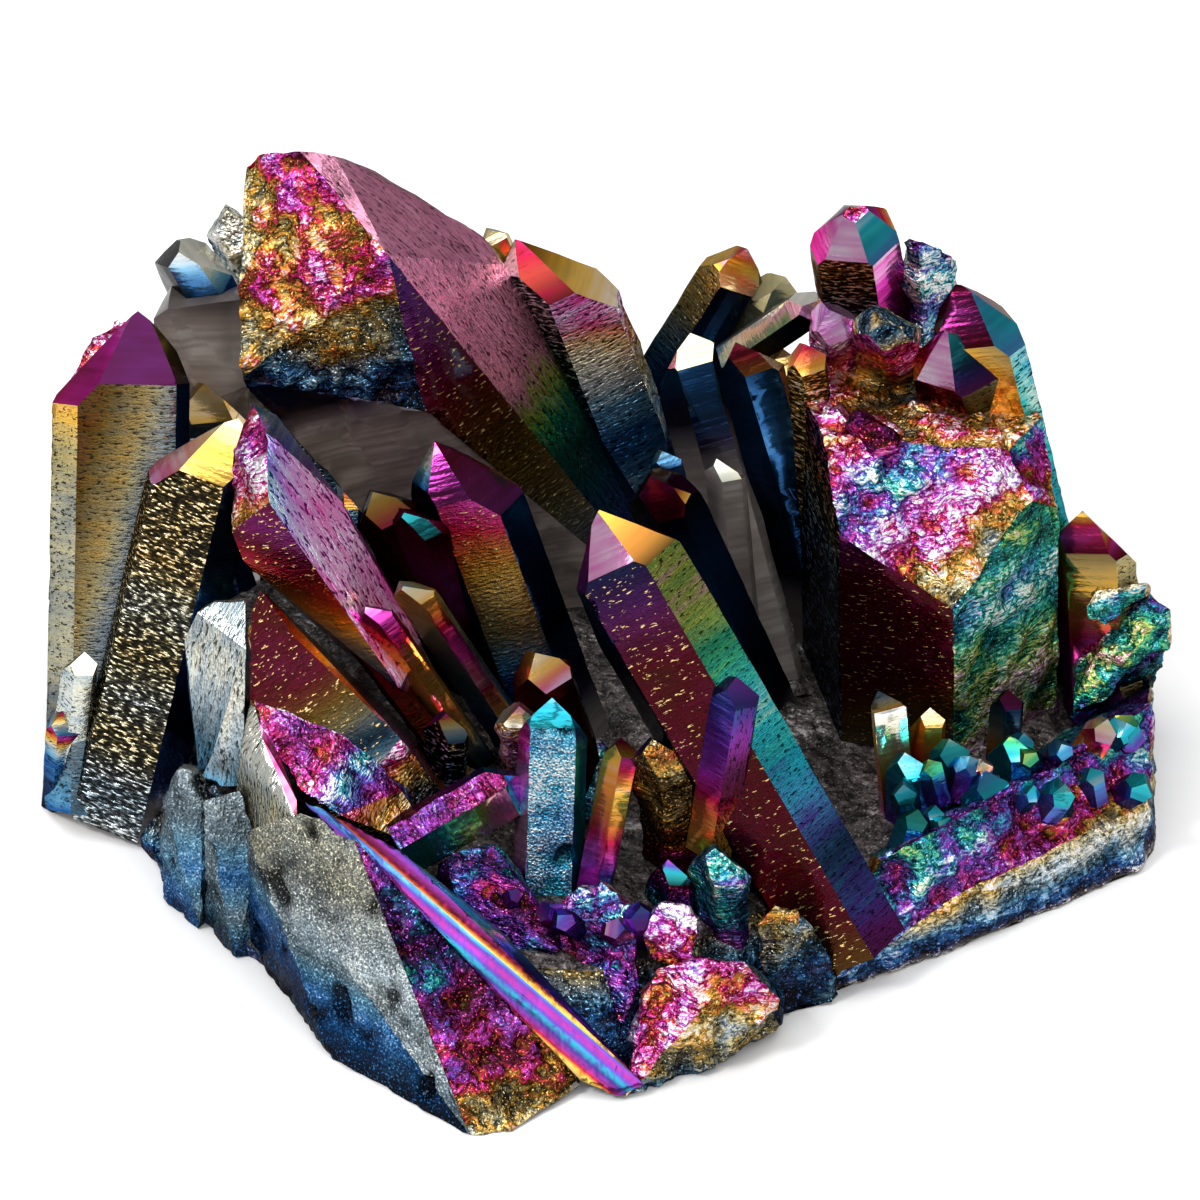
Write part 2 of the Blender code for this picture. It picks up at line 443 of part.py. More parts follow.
left_side()
great_crystal()
centre_back()
right_side()
middle()
middle_front()
front_wall()
right_shelf()
back_side()
back_ledge()
coat(join_pieces())
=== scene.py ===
"""Aura-coated quartz cluster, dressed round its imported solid.

One grown-together mass of smoky quartz: over sixty crystals, twenty broken lumps and fifty
small points on a shared foot. Hot metal vapour left a film on it a few hundred nanometres
thick. The film's colour is its thickness: bare, violet, blue, steel, gold, orange, magenta,
indigo, teal, green, as it grows.
Lengths are millimetres until the finished mesh is scaled to metres.
"""

import json
import math
import random

import bmesh
import bpy
import numpy as np
from mathutils import Matrix, Vector, noise

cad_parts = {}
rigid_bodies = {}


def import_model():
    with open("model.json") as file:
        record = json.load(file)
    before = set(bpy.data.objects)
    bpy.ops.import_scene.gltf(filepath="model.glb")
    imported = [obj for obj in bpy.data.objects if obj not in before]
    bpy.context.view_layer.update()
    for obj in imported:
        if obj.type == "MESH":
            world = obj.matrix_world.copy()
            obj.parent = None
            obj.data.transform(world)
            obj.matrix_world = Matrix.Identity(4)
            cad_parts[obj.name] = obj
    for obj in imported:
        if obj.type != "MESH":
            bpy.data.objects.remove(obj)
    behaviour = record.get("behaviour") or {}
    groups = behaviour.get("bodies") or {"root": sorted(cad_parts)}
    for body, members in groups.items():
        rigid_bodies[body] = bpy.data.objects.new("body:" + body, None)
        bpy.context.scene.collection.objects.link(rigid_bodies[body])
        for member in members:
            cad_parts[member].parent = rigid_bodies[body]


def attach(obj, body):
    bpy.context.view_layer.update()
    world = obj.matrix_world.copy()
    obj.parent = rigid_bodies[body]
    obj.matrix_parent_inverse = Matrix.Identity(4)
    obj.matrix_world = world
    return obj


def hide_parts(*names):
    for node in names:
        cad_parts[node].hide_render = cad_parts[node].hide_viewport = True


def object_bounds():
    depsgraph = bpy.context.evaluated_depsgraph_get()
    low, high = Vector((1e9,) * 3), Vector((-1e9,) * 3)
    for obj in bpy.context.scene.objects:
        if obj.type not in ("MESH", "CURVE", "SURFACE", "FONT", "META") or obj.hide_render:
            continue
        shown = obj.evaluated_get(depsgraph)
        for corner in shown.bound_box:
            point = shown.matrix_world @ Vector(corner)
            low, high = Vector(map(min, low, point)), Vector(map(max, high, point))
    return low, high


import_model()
cad_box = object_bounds()


# ---------------------------------------------------------------- the left side
# Two tall prisms at the left edge, with low points at their feet and three points behind.
# Quartz: six side faces round a leaning axis and six cap faces at the angle all quartz has.
# The film is thickest on the caps, and thins to steel and blue where the vapour came late.

MM = 0.001
SIDE_TURN = 60                              # degrees from one side of a prism to the next
CAP_ANGLE = math.radians(51.8)              # between the axis and the normal of a cap face
USUAL_CAPS = (0, 0.6, 0, 0.6, 0, 0.6)       # gives three large cap faces and three small ones
BUILD_ROOM = 80                             # half the edge of the block a crystal is cut from
NEAR = 0.0005                               # corners closer than this are one corner
SIDEWAYS = 0.05                             # a face that looks nearly upward has no way across
SIDE_NAMES = ("front", "front_right", "back_right", "back", "back_left", "front_left")

# A tint is (thickness of the film, painted lightness). The lightness is painted light and shade:
# low values darken a face as if shaded, and past 1 it washes the colour with white as a painted
# highlight.
TINTS_WITH_PAINTED_LIGHT = {
    "bare": (0.00, 1.0), "smoke": (0.03, 0.5), "haze": (0.10, 0.35), "ink": (0.22, 0.02),
    "night": (0.20, 0.07), "navy": (0.215, 0.25), "blue": (0.23, 0.8), "sky": (0.30, 1.15),
    "slate": (0.345, 0.3), "steel": (0.37, 0.75), "ash": (0.40, 0.3), "stone": (0.412, 0.55),
    "silver": (0.40, 1.15), "white": (0.42, 1.8), "cream": (0.445, 1.15), "khaki": (0.455, 0.5),
    "olive": (0.475, 0.12), "brass": (0.50, 0.45), "pale_gold": (0.49, 1.5), "gold": (0.515, 1.0),
    "brown": (0.54, 0.08), "orange": (0.555, 0.8), "red": (0.585, 0.5), "maroon": (0.60, 0.08),
    "rose": (0.625, 0.8), "pink": (0.662, 1.45), "magenta": (0.65, 0.6), "plum": (0.67, 0.10),
    "mauve": (0.68, 1.1), "violet": (0.71, 0.5), "indigo": (0.745, 0.25), "azure": (0.77, 0.75),
    "aqua": (0.79, 1.25), "teal": (0.81, 0.6), "sea": (0.83, 1.25), "pine": (0.82, 0.08),
    "green": (0.87, 0.5), "lime": (0.92, 0.8), "blush": (1.04, 0.9), "ice": (0.79, 1.9),
    "wine": (0.665, 0.16), "deep": (0.755, 0.06), "dusk": (0.30, 0.10), "lilac": (0.69, 1.3),
    "mist": (0.775, 1.3), "moss": (0.49, 0.25), "sage": (0.93, 0.4),
}
# A skin is how a face grew or broke: (marks that show on it, depth of relief, mesh edge).
# On a cracked face the dashes run up the face, not across it.
SKINS = {
    "mirror": ("", 0.02, 1.7), "dashed": ("dash", 0.05, 1.1), "cracked": ("dash", 0.05, 1.1),
    "glitter": ("glitter", 0.08, 0.9), "flecked": ("fleck", 0.04, 1.1),
    "rough": ("rough", 0.45, 0.56), "feather": ("feather", 0.70, 0.48),
    "grit": ("grit", 0.22, 0.62), "crust": ("rough", 0.60, 0.9), "ribbed": ("", 0.06, 0.42),
    "hewn": ("", 0.95, 0.9), "bare": ("", 0.03, 2.2),
}
MARKS = ("dash", "glitter", "fleck", "rough", "feather", "grit")
HIDDEN_SIDES = "bare bare haze navy steel gold"     # faces turned away from the vapour
HIDDEN_CAPS = "gold rose violet"

facets = []                                 # how each face of every piece is coated
grown = bpy.data.collections.new("grown_pieces")
bpy.context.scene.collection.children.link(grown)


def coat_facet(face, words, up, corners):
    """Notes how one face is coated. words is 'skin lean: tints from its foot to its tip', or the
    tints alone on a mirror skin, and lean turns them sideways. With a place for up, they run
    outward from that place."""
    kind, tints = words.split(":") if ":" in words else ("mirror", words)
    skin, lean = (kind.split() + ["0"])[:2]
    rings = isinstance(up, tuple)
    centre = Vector(up) if rings else None
    up = Vector((0, 0, 1)) if rings else up
    normal = face.normal.copy()
    across = up.cross(normal)
    if across.length < SIDEWAYS:
        across = normal.orthogonal()
    across.normalize()
    way = up + float(lean) * across
    heights = [(corner - centre).length if rings else corner.dot(way) for corner in corners]
    facets.append({"skin": skin, "tints": [TINTS_WITH_PAINTED_LIGHT[tint] for tint in tints.split()],
                   "normal": normal, "across": across, "up": up.copy(), "way": way,
                   "centre": centre, "low": 0 if rings else min(heights), "high": max(heights)})
    return len(facets) - 1


def keep_as_piece(bm, name):
    """Turns a mesh under work into a piece that waits to be joined."""
    mesh = bpy.data.meshes.new(name)
    bm.to_mesh(mesh)
    bm.free()
    piece = bpy.data.objects.new(name, mesh)
    grown.objects.link(piece)
    return piece


def slice_off(bm, point, outward):
    """Cuts away what lies past a plane, and closes the cut with one face."""
    everything = bm.verts[:] + bm.edges[:] + bm.faces[:]
    bmesh.ops.bisect_plane(bm, geom=everything, dist=NEAR, plane_co=point, plane_no=outward,
                           clear_outer=True)
    bmesh.ops.remove_doubles(bm, verts=bm.verts, dist=NEAR)
    rim = [edge for edge in bm.edges if edge.is_boundary]
    if rim:
        bmesh.ops.holes_fill(bm, edges=rim)


def crystal(name, foot, tip, reach, turn=0, cap_reach=USUAL_CAPS, snaps=(), **coat):
    """A quartz prism: reach is how far its six sides stand off its axis, turn its roll in
    degrees, cap_reach how far its cap faces stand off the tip, snaps the planes where it broke.
    coat names its faces: front, front_right.., cap_front.., break_0.., or all sides, all caps."""
    foot, tip = Vector(foot), Vector(tip)
    axis = (tip - foot).normalized()
    front = Vector((0, -1, 0))
    front = (front - front.dot(axis) * axis).normalized()
    right = axis.cross(front)
    bm = bmesh.new()
    bmesh.ops.create_cube(bm, size=2 * BUILD_ROOM)
    planes = []
    for side, side_name in enumerate(SIDE_NAMES):
        angle = math.radians(turn + side * SIDE_TURN)
        out = math.cos(angle) * front + math.sin(angle) * right
        cap_out = math.sin(CAP_ANGLE) * out + math.cos(CAP_ANGLE) * axis
        slice_off(bm, foot + out * reach[side], out)
        slice_off(bm, tip + cap_out * cap_reach[side], cap_out)
        planes.append((out, coat.get(side_name, coat.get("sides", HIDDEN_SIDES))))
        planes.append((cap_out, coat.get("cap_" + side_name, coat.get("caps", HIDDEN_CAPS))))
    slice_off(bm, foot, -axis)
    planes.append((-axis, "bare: bare"))
    for number, (point, outward) in enumerate(snaps):
        outward = Vector(outward).normalized()
        slice_off(bm, Vector(point), outward)
        planes.append((outward, coat[f"break_{number}"]))
    bmesh.ops.recalc_face_normals(bm, faces=bm.faces)
    bm.normal_update()
    layer = bm.faces.layers.int.new("facet")
    for face in bm.faces:
        words = max(planes, key=lambda plane: plane[0].dot(face.normal))[1]
        face[layer] = coat_facet(face, words, axis, [corner.co for corner in face.verts])
    return keep_as_piece(bm, name)


def block(name, corners, coat, upward=(0, 0, 1), rings=None):
    """A lump with flat faces, the hull of its corners. coat is keyed by the direction that a
    face looks in, and tints run along upward over all the faces that share them, or outward
    from the place that rings gives for them."""
    bm = bmesh.new()
    for corner in corners:
        bm.verts.new(corner)
    hull = bmesh.ops.convex_hull(bm, input=bm.verts)
    inside = set(hull["geom_interior"]) | set(hull["geom_unused"])
    loose = [part for part in inside if isinstance(part, bmesh.types.BMVert)]
    bmesh.ops.delete(bm, geom=loose, context="VERTS")
    bmesh.ops.recalc_face_normals(bm, faces=bm.faces)
    bm.normal_update()
    upward = Vector(upward).normalized()
    layer = bm.faces.layers.int.new("facet")
    faces_by_look = {}
    for face in bm.faces:
        look = max(coat, key=lambda direction: Vector(direction).normalized().dot(face.normal))
        faces_by_look.setdefault(look, []).append(face)
    for look, faces in faces_by_look.items():
        shared_corners = [corner.co for face in faces for corner in face.verts]
        centre = (rings or {}).get(look)
        for face in faces:
            face[layer] = coat_facet(face, coat[look], centre or upward, shared_corners)
    return keep_as_piece(bm, name)


crystal("left_tower", (-34.1, -0.8, 0), (-33.2, 17.1, 31), (3.4, 4.2, 2.6, 4.2, 5.2, 5.3), turn=3,
        cap_reach=(-0.3, 0.4, 0.5, 0.8, 0.5, 0.2),
        front="dashed -3.5: navy navy blue blue dusk slate ash moss olive brown brown",
        front_left="dashed: blue slate ash stone stone stone stone khaki gold",
        front_right="haze navy blue navy", cap_front="plum plum",
        cap_front_left="mirror 0.5: rose magenta pink", cap_front_right="brown olive brass")
block("rough_shoulder", [
    (-37.8, 24, 24), (-35.5, 26.4, 25), (-33.9, 25.2, 25), (-38.9, 22.4, 22), (-38.6, 10, 2),
    (-33.8, 10, 2), (-32.7, 19.3, 24), (-35.6, 28.2, 20), (-36.8, 20.5, 0), (-33.5, 17.7, 2),
    (-39, 16.2, 3)], {
    (-1, 0, 0): "rough: navy ash stone gold pink", (0, -0.5, 1): "rough: olive gold pink",
    (1, 0, 0): "rough: ink navy slate", (0, 1, 0): "dashed: smoke navy steel gold"})
crystal("left_column", (-33.4, -2.7, 0), (-25.6, 2.9, 31), (2.6, 2.3, 2.4, 3.1, 4.4, 4.8),
        turn=-22, cap_reach=(-0.2, 0.5, 0.5, 0.8, 0.5, 0.4),
        front="glitter: steel slate olive ash olive ash moss olive moss",
        front_left="glitter: slate ash olive ash olive moss olive",
        front_right="bare ink navy night", cap_front="gold gold pale_gold",
        cap_front_left="pink pale_gold", cap_front_right="orange gold")
crystal("low_outer_point", (-38.3, -0.4, 1.5), (-36.7, 0.1, 13.5), (1.1, 1.1, 0.7, 1, 1.5, 1.2),
        turn=10, sides="dashed: slate silver silver", caps="cream white")
crystal("low_blue_point", (-39.1, 0.4, 0), (-38.2, -0.4, 9), (1.3, 1.8, 1.6, 1.3, 1.2, 1.5),
        turn=20, sides="dashed: ink navy blue violet", caps="blue indigo")
crystal("gold_cap_between", (-31.5, 18, 2), (-28.7, 17.4, 25), (1.8, 3.3, 3.2, 1.9, 1.2, 2),
        turn=20, sides="navy blue slate steel", cap_front="gold pale_gold gold",
        cap_front_left="slate steel stone", cap_front_right="pale_gold gold", caps="pale_gold gold")
block("smoky_mass", [
    (-31.4, 20.6, 29.4), (-32.5, 20.4, 28.6), (-32.6, 19.5, 19), (-29, 19.5, 17.5),
    (-25.5, 18.8, 21), (-25.4, 18.4, 24), (-25.5, 21, 30.2), (-28.9, 18, 23), (-31.2, 25.5, 28.5),
    (-25.5, 24.5, 29), (-31.2, 23.5, 19), (-26.5, 22.5, 22)], {
    (0, -1, 0.3): "hewn: bare bare bare bare smoke", (-1, 0, 0): "bare: bare smoke bare",
    (0, 0, 1): "bare: bare smoke", (0, 1, 0): "bare: bare smoke navy"})
crystal("dark_back_point", (-25.8, 35.6, 8), (-30.5, 22.5, 33), (2.4, 3.2, 2.5, 2.4, 7.6, 1.3),
        front="bare: bare bare bare smoke", front_left="ink ink ink", front_right="navy navy blue",
        cap_front="navy blue sky white", cap_front_left="ink ink ink", cap_back_left="ink ink",
        cap_front_right="blue sky white", cap_back_right="silver white", cap_back="ink ink",
        back_left="ink ink ink")
crystal("pale_back_point", (-22.9, 35.6, 8), (-27.3, 28.3, 33), (2, 2.3, 1.2, 1.5, 2.4, 1.4),
        turn=10, sides="rough: haze ink ash silver white", caps="rough: white silver")


# ---------------------------------------------------------------- the great crystal
# A thick prism that leans up to the left and ends in a broken face, not in a cap. Two small
# crystals and a blade stand against it. Its underside got no vapour and is bare smoky quartz.

block("great_block", [
    (-25.3, 19.7, 42), (-24, 19.8, 43), (-21.3, 18.7, 44), (-18.8, 19.4, 43), (-15, 14, 38),
    (-14.3, 12.5, 28), (-12.5, 12.1, 26), (-19.3, 11.8, 27), (-25.7, 11.4, 29), (-25.9, 14.1, 35),
    (-25.4, 18.2, 40), (-16.1, 22.3, 40), (-8.5, 24.8, 33), (-6.9, 23.9, 31), (-5.1, 24, 24),
    (-6.9, 17.5, 20), (-8.9, 17.7, 2), (7.5, 17.7, 2), (7.6, 28.1, 2), (-3.1, 33.3, 4)], {
    (0.09, -0.98, 0.17): "feather: plum magenta red orange red magenta orange brass olive "
        "olive dusk navy navy ink ink",
    (-0.15, -0.88, 0.45): "feather: gold orange rose orange magenta violet",
    (-0.46, -0.67, 0.58): "feather 1.5: cream gold orange magenta violet",
    (0.01, -0.98, -0.22): "hewn: bare bare bare bare bare ink",
    (0.8, -0.2, 0.55): "cracked: deep indigo indigo pine sage blush blush blush blush",
    (0.52, -0.82, 0.24): "flecked: ink navy slate olive brown maroon plum indigo",
    (-1, 0, 0): "dashed: smoke navy slate stone cream",
    (0, 1, 0): "dashed: smoke navy steel gold rose"},
    upward=(-0.3, -0.1, 0.95), rings={(0.09, -0.98, 0.17): (-19, 15, 41)})
crystal("point_on_block", (-4.4, 20.3, 19), (-10, 18.4, 26), (0.6, 0.8, 0.7, 0.6, 1.1, 0.5),
        turn=20, sides="maroon orange", caps="orange gold")
crystal("gold_blade", (3, 25.1, 5), (-5.9, 24.8, 32), (3, 5.4, 4.3, 2.8, 2, 1.5), turn=20,
        cap_reach=(0, 0.3, 0.5, 0.8, 0.5, 0.2),
        front="dashed 0.3: navy blue blue sky blue blue sky white pale_gold pink pink",
        front_left="glitter: navy blue blue navy slate ash silver", cap_front="maroon red rose",
        cap_front_left="silver cream", cap_front_right="pale_gold brown",
        front_right="rough: navy blue cream pink")
crystal("yellow_point", (-2.3, 32, 14), (-8.2, 27.3, 32), (0.8, 1.2, 1, 0.8, 1.1, 0.7), turn=20,
        sides="olive khaki cream", caps="pale_gold")


# ---------------------------------------------------------------- behind the middle
# Slender spires and small prisms that lean to the right. Their feet stood in the shadow of
# the others, so the vapour only reached their upper halves and caps.

crystal("clear_spire", (13.9, 8.6, 3), (6.5, 19.7, 28), (1.8, 1.7, 1, 1.8, 3.5, 2.4), turn=12,
        sides="bare: bare bare bare smoke navy",
        front="bare: bare bare bare bare bare smoke ink navy", caps="pale_gold cream pale_gold")
crystal("two_tone_spire", (17.3, 11.8, 3), (9.7, 15.2, 30), (1.7, 2.8, 2.2, 1.8, 2.1, 1.1),
        turn=15, front="smoke ink navy navy blue navy", front_left="bare smoke ink navy navy",
        front_right="dashed: bare navy blue slate stone khaki gold",
        cap_front="brown maroon maroon", cap_front_left="brown orange",
        cap_front_right="cream white")
crystal("teal_leaner", (-1.3, 30.4, 5), (10.9, 29.5, 29), (2.1, 2.3, 1.6, 1.7, 2.3, 2.2), turn=10,
        front="smoke ink navy blue navy ink",
        front_left="dashed: navy navy blue navy dusk olive moss", front_right="smoke ink navy",
        caps="gold pale_gold pink", cap_front="pale_gold gold pink", cap_front_right="brown maroon")
crystal("olive_leaner", (3.1, 32, 4), (13.8, 30.7, 25.8), (2, 2.5, 2.3, 1.8, 2.6, 2.5), turn=30,
        sides="blue slate steel stone khaki", caps="khaki khaki cream")
crystal("white_leaner", (5, 29, 15.5), (16.1, 22.4, 29), (1.1, 1.4, 1.1, 1.2, 1.5, 1.3), turn=10,
        sides="blue sky white white", caps="white white", front="night plum ink",
        front_left="blue sky white white")


# ---------------------------------------------------------------- the right side
# Towers at the right. The broadest snapped off at a slope, and the break healed into a crust
# of feathery plates with small posts round it. Three more points lean out at the right edge.

crystal("pink_tower", (22.5, 31.8, 5), (17.8, 21.5, 38), (2.4, 2.8, 3, 2.6, 2.6, 3.2), turn=-15,
        cap_reach=(-0.6, -0.5, 0, -0.2, -0.4, -0.4),
        snaps=[((18.1, 22.2, 36.7), (0.1, -0.5, 0.9))],
        front="glitter: ink ink ink ink navy navy navy blue slate moss orange",
        front_right="smoke navy indigo azure violet magenta magenta pink",
        front_left="ink navy indigo magenta gold", cap_front="pink pink pink",
        cap_front_left="rose pink", cap_front_right="azure teal aqua", break_0="rough: pink gold")
crystal("cyan_blade", (25.3, 24.4, 3), (22.6, 23.9, 35), (1.6, 2.8, 2.3, 1.5, 0.8, 1.2), turn=25,
        cap_reach=(0, 0.2, -1, -0.8, -0.3, 0.3),
        sides="rough: ink gold magenta violet mist aqua ice", caps="feather: mist aqua aqua ice")
crystal("red_tower", (34.2, 11.4, 1), (25.5, 13.6, 36), (2.8, 4.1, 2.9, 2.4, 1.7, 2.6), turn=-12,
        cap_reach=(-0.2, 0.2, 0, 0, 0.2, 0.2),
        front="mirror 2: plum maroon maroon red orange moss", cap_front="maroon plum maroon",
        front_right="dashed 3: lime lime green teal teal sea aqua", front_left="violet magenta",
        cap_front_right="azure teal azure", cap_front_left="maroon wine")
crystal("pink_cap", (30.6, 17.1, 6), (24.7, 10.8, 33), (2.6, 3.1, 1.8, 2.5, 3.1, 2.2), turn=25,
        cap_reach=(0, 0.3, 0.5, 0.8, 0.5, 0), front="dashed: deep pine violet maroon brown olive",
        front_right="ash cream", front_left="violet maroon", cap_front="plum deep pine teal",
        cap_front_left="pink pink pink", cap_front_right="pine teal sea")
crystal("broken_tower", (24.5, 5.3, 0), (23.1, 5, 44), (7, 6.4, 8.6, 8, 11.1, 7.9), turn=-18,
        cap_reach=(6, 6, 6, 6, 6, 6), snaps=[((24.3, 1.3, 24), (0.1, -0.8, 0.6)),
        ((24.8, 6.9, 28), (0.1, 0.1, 1)), ((31.1, 4.8, 25), (0.8, -0.3, 0.6))],
        front="flecked -0.3: ink navy olive maroon maroon maroon wine",
        front_right="rough: magenta blush lime lime green sea green lime",
        back_right="teal sea teal green", front_left="glitter: ink ink night night olive wine",
        break_0="feather -0.5: gold gold orange pink pink mauve azure aqua mauve pink gold",
        break_1="feather: gold orange pink", break_2="feather: orange magenta teal")
crystal("gold_post", (17, 13.4, 5), (14.5, 10.3, 33), (1.4, 1.5, 0.9, 1.2, 1.3, 1.5), turn=20,
        sides="glitter: ink olive brass gold", caps="gold rose")
crystal("pink_post", (18.7, 24.4, 10), (16.2, 13.2, 34), (1.6, 2.3, 1.8, 1.5, 1.4, 1.5), turn=20,
        sides="rough: ink brass magenta pink", caps="pink mauve")
crystal("bronze_post", (21.7, 24.4, 10), (19.6, 10.6, 35), (1.8, 2.9, 2.3, 2, 1.8, 1.2), turn=20,
        sides="rough: ink brown brass magenta", caps="rough: brass ink rose")
crystal("plum_point", (20, 7.1, 20), (18.1, 4.4, 31), (1.8, 2.8, 1.8, 1.5, 1.5, 0.6), turn=10,
        sides="rough: ink plum magenta", caps="rough: maroon plum")
crystal("right_point", (36.2, 5.3, 0), (34.6, 8.4, 20), (2, 3.2, 3.3, 2.1, 1.6, 2), turn=-10,
        front="maroon violet magenta orange olive", front_left="violet magenta gold",
        front_right="dashed: olive moss khaki", caps="maroon magenta khaki")
block("right_spur", [
    (34.8, 4.2, 14.5), (35.1, 3.7, 13.8), (36.2, 3.9, 13.2), (36.4, 4.4, 15.2), (35.6, 5, 15.2),
    (39.3, 5.7, 15.5), (39.3, 5.2, 14.5), (37.7, 5.1, 13.4), (38.5, 10, 11), (40.1, 11.3, 11)], {
    (0, -1, 0.3): "rough: teal green aqua", (0, 0, 1): "rough: khaki cream",
    (0, 0, -1): "rough: ink pine", (1, 0, 0): "rough: teal cream"})
block("right_ledge", [
    (34.1, 3.7, 9.5), (36.7, 4.8, 12), (39.4, 6.7, 14), (41.1, 5.4, 13.5), (41, 4.3, 11.5),
    (40.2, 3.8, 10), (38.1, 3.4, 9), (33.8, 0.4, 7), (36.1, 11.2, 3), (41.2, 14.4, 7),
    (40.4, 9.9, 3)], {
    (-0.14, -0.7, 0.7): "feather: teal green lime green teal",
    (0.58, -0.62, -0.53): "feather: deep pine teal",
    (0.18, -0.87, 0.47): "feather: lime green teal", (1, 0, 0): "rough: navy steel gold",
    (0, 1, 0): "rough: smoke steel gold"})


# ---------------------------------------------------------------- across the open middle
# Crystals that lie across the open middle, from the back row down to the front shelf, and
# two slabs that broke along their length. The coat is richest here: it faced the vapour.

crystal("long_diagonal", (17.8, -20.1, 2), (0, -9.8, 32), (2.6, 3.1, 3.7, 3.9, 10.9, 3.8), turn=-5,
        cap_reach=(0, 0, 0.3, 0.8, 0.3, 0.5),
        front="flecked: brown maroon maroon maroon maroon maroon maroon maroon plum deep",
        front_right="dashed: plum indigo deep azure teal sea green sage sage",
        front_left="navy ink night navy", cap_front="pink pink",
        cap_front_right="brown orange gold", cap_front_left="violet magenta",
        cap_back_left="magenta plum", caps="maroon gold")
crystal("diagonal_twin", (11.7, 6, 4), (3.5, -0.5, 29), (2.2, 2.4, 2.5, 2.4, 5, 1.5),
        sides="smoke ink navy navy ink", cap_front="maroon plum", cap_front_right="gold maroon",
        cap_front_left="white silver", caps="plum maroon")
crystal("blue_tip", (7.8, 10.4, 3), (4.4, 5.6, 27), (0.9, 1.3, 0.9, 1, 1.1, 0.8), turn=20,
        sides="bare smoke navy blue", caps="blue sky")
crystal("clear_tip", (10.2, 9.3, 3), (8.3, 7.6, 25), (1.1, 1.9, 1.5, 1.1, 1.1, 0.5), turn=10,
        sides="bare: bare", caps="ash silver")
crystal("purple_cap", (-4, 1.8, 4), (-11.7, 4.4, 28), (2.6, 4.3, 4.4, 3.3, 4.6, 1.9), turn=-2,
        cap_reach=(0, 0.2, 0.5, 0.8, 0.5, 0),
        front="flecked: smoke ink navy olive brass red magenta", front_right="bare ink navy",
        cap_front="plum wine magenta", cap_front_left="blue sky white pale_gold",
        cap_front_right="plum maroon", front_left="bare ink navy ink")
crystal("olive_twin", (-9.5, 7, 6), (-16.1, 3.4, 25), (1.7, 2.5, 1.9, 1.7, 1.9, 1.5), turn=20,
        sides="ink olive maroon", caps="maroon brown olive")
crystal("teal_twin", (-9.4, 5.7, 6), (-13.8, 0.9, 25), (1.6, 2.7, 1.8, 1.5, 1.4, 0.4), turn=20,
        sides="ink maroon magenta maroon", cap_front="pine teal", cap_front_left="magenta pink",
        caps="maroon magenta")
block("pink_slab", [
    (-24.5, 4.5, 32), (-22.7, 4.1, 31), (-18, -0.9, 27), (-17.1, -2.2, 25.5), (-12.6, -4.9, 18),
    (-11.4, -1, 10), (-23.2, 0.5, 32), (-23, -3.9, 29), (-17.9, -7.2, 22.5), (-14, -8.1, 16),
    (-25.7, 1.1, 30), (-25.8, -1.8, 25), (-25, -2.4, 23), (-20.5, -0.5, 18), (-14.4, 1.7, 8),
    (-19.7, 13.7, 12), (-14.7, 14.3, 8)], {
    (0.6, -0.48, 0.62): "cracked -1.5: gold magenta pink pink pink pink pink pink lilac aqua",
    (0.7, 0.1, 0.7): "maroon magenta pink aqua",
    (-0.56, -0.81, -0.12): "flecked 0.6: navy steel gold red maroon wine maroon",
    (-0.6, -0.5, -0.59): "maroon orange gold maroon",
    (-0.7, -0.48, 0.5): "rough: slate stone brass gold pink magenta",
    (0, 1, 0.3): "navy gold magenta"}, upward=(-0.45, 0.25, 0.86))
block("maroon_slab", [
    (-24.2, -8.6, 23), (-23.5, -6.6, 23.5), (-21.3, -9.2, 21.5), (-13.8, -12.5, 15),
    (-10.5, -11.6, 9), (-24.4, -12.1, 18), (-20.7, -12.6, 15.5), (-16.5, -14.3, 12.5),
    (-12.6, -13.8, 8), (-21.7, 6.4, 10), (-11.5, -0.1, 4), (-21.5, -2.8, 6)], {
    (0.12, -0.82, 0.57): "flecked: ash ink olive brown maroon maroon maroon maroon",
    (0.73, 0.37, 0.57): "gold pink gold maroon", (0.5, -0.8, 0.24): "rough: ink olive pink",
    (-0.56, -0.62, -0.55): "rough: ink maroon gold"}, upward=(-0.5, 0.2, 0.84))
crystal("maroon_prism", (-10.6, -6.6, 7), (-19.7, -5, 21), (1.1, 2.1, 1.5, 1.1, 8.8, 0),
        sides="dashed: brass brown maroon maroon", caps="magenta pink")
crystal("pink_gold_prism", (-8.9, -4.8, 7), (-16.3, -7.9, 23), (1, 1.6, 1.1, 1.1, 1.8, 0.4),
        turn=20, sides="ink brass gold orange magenta", caps="magenta pink")
crystal("white_gold_prism", (-4.8, 0.3, 2), (-13.7, -8.2, 25), (1.2, 1.9, 1.3, 1.2, 2.1, 0.3),
        turn=20, front="blue ink gold pink magenta gold", sides="ink blue ash gold",
        caps="gold white")
crystal("dark_cap", (-11.3, -7.6, 6), (-10.8, -8, 14), (1.4, 1.8, 1, 1.5, 2.2, 0.7), turn=10,
        sides="glitter: bare ink olive", cap_front="ink plum", caps="gold magenta violet")


# ---------------------------------------------------------------- on the front shelf
# Short crystals of the last growth, each with a thick film of its own colour because it
# stands at its own angle to the vapour.

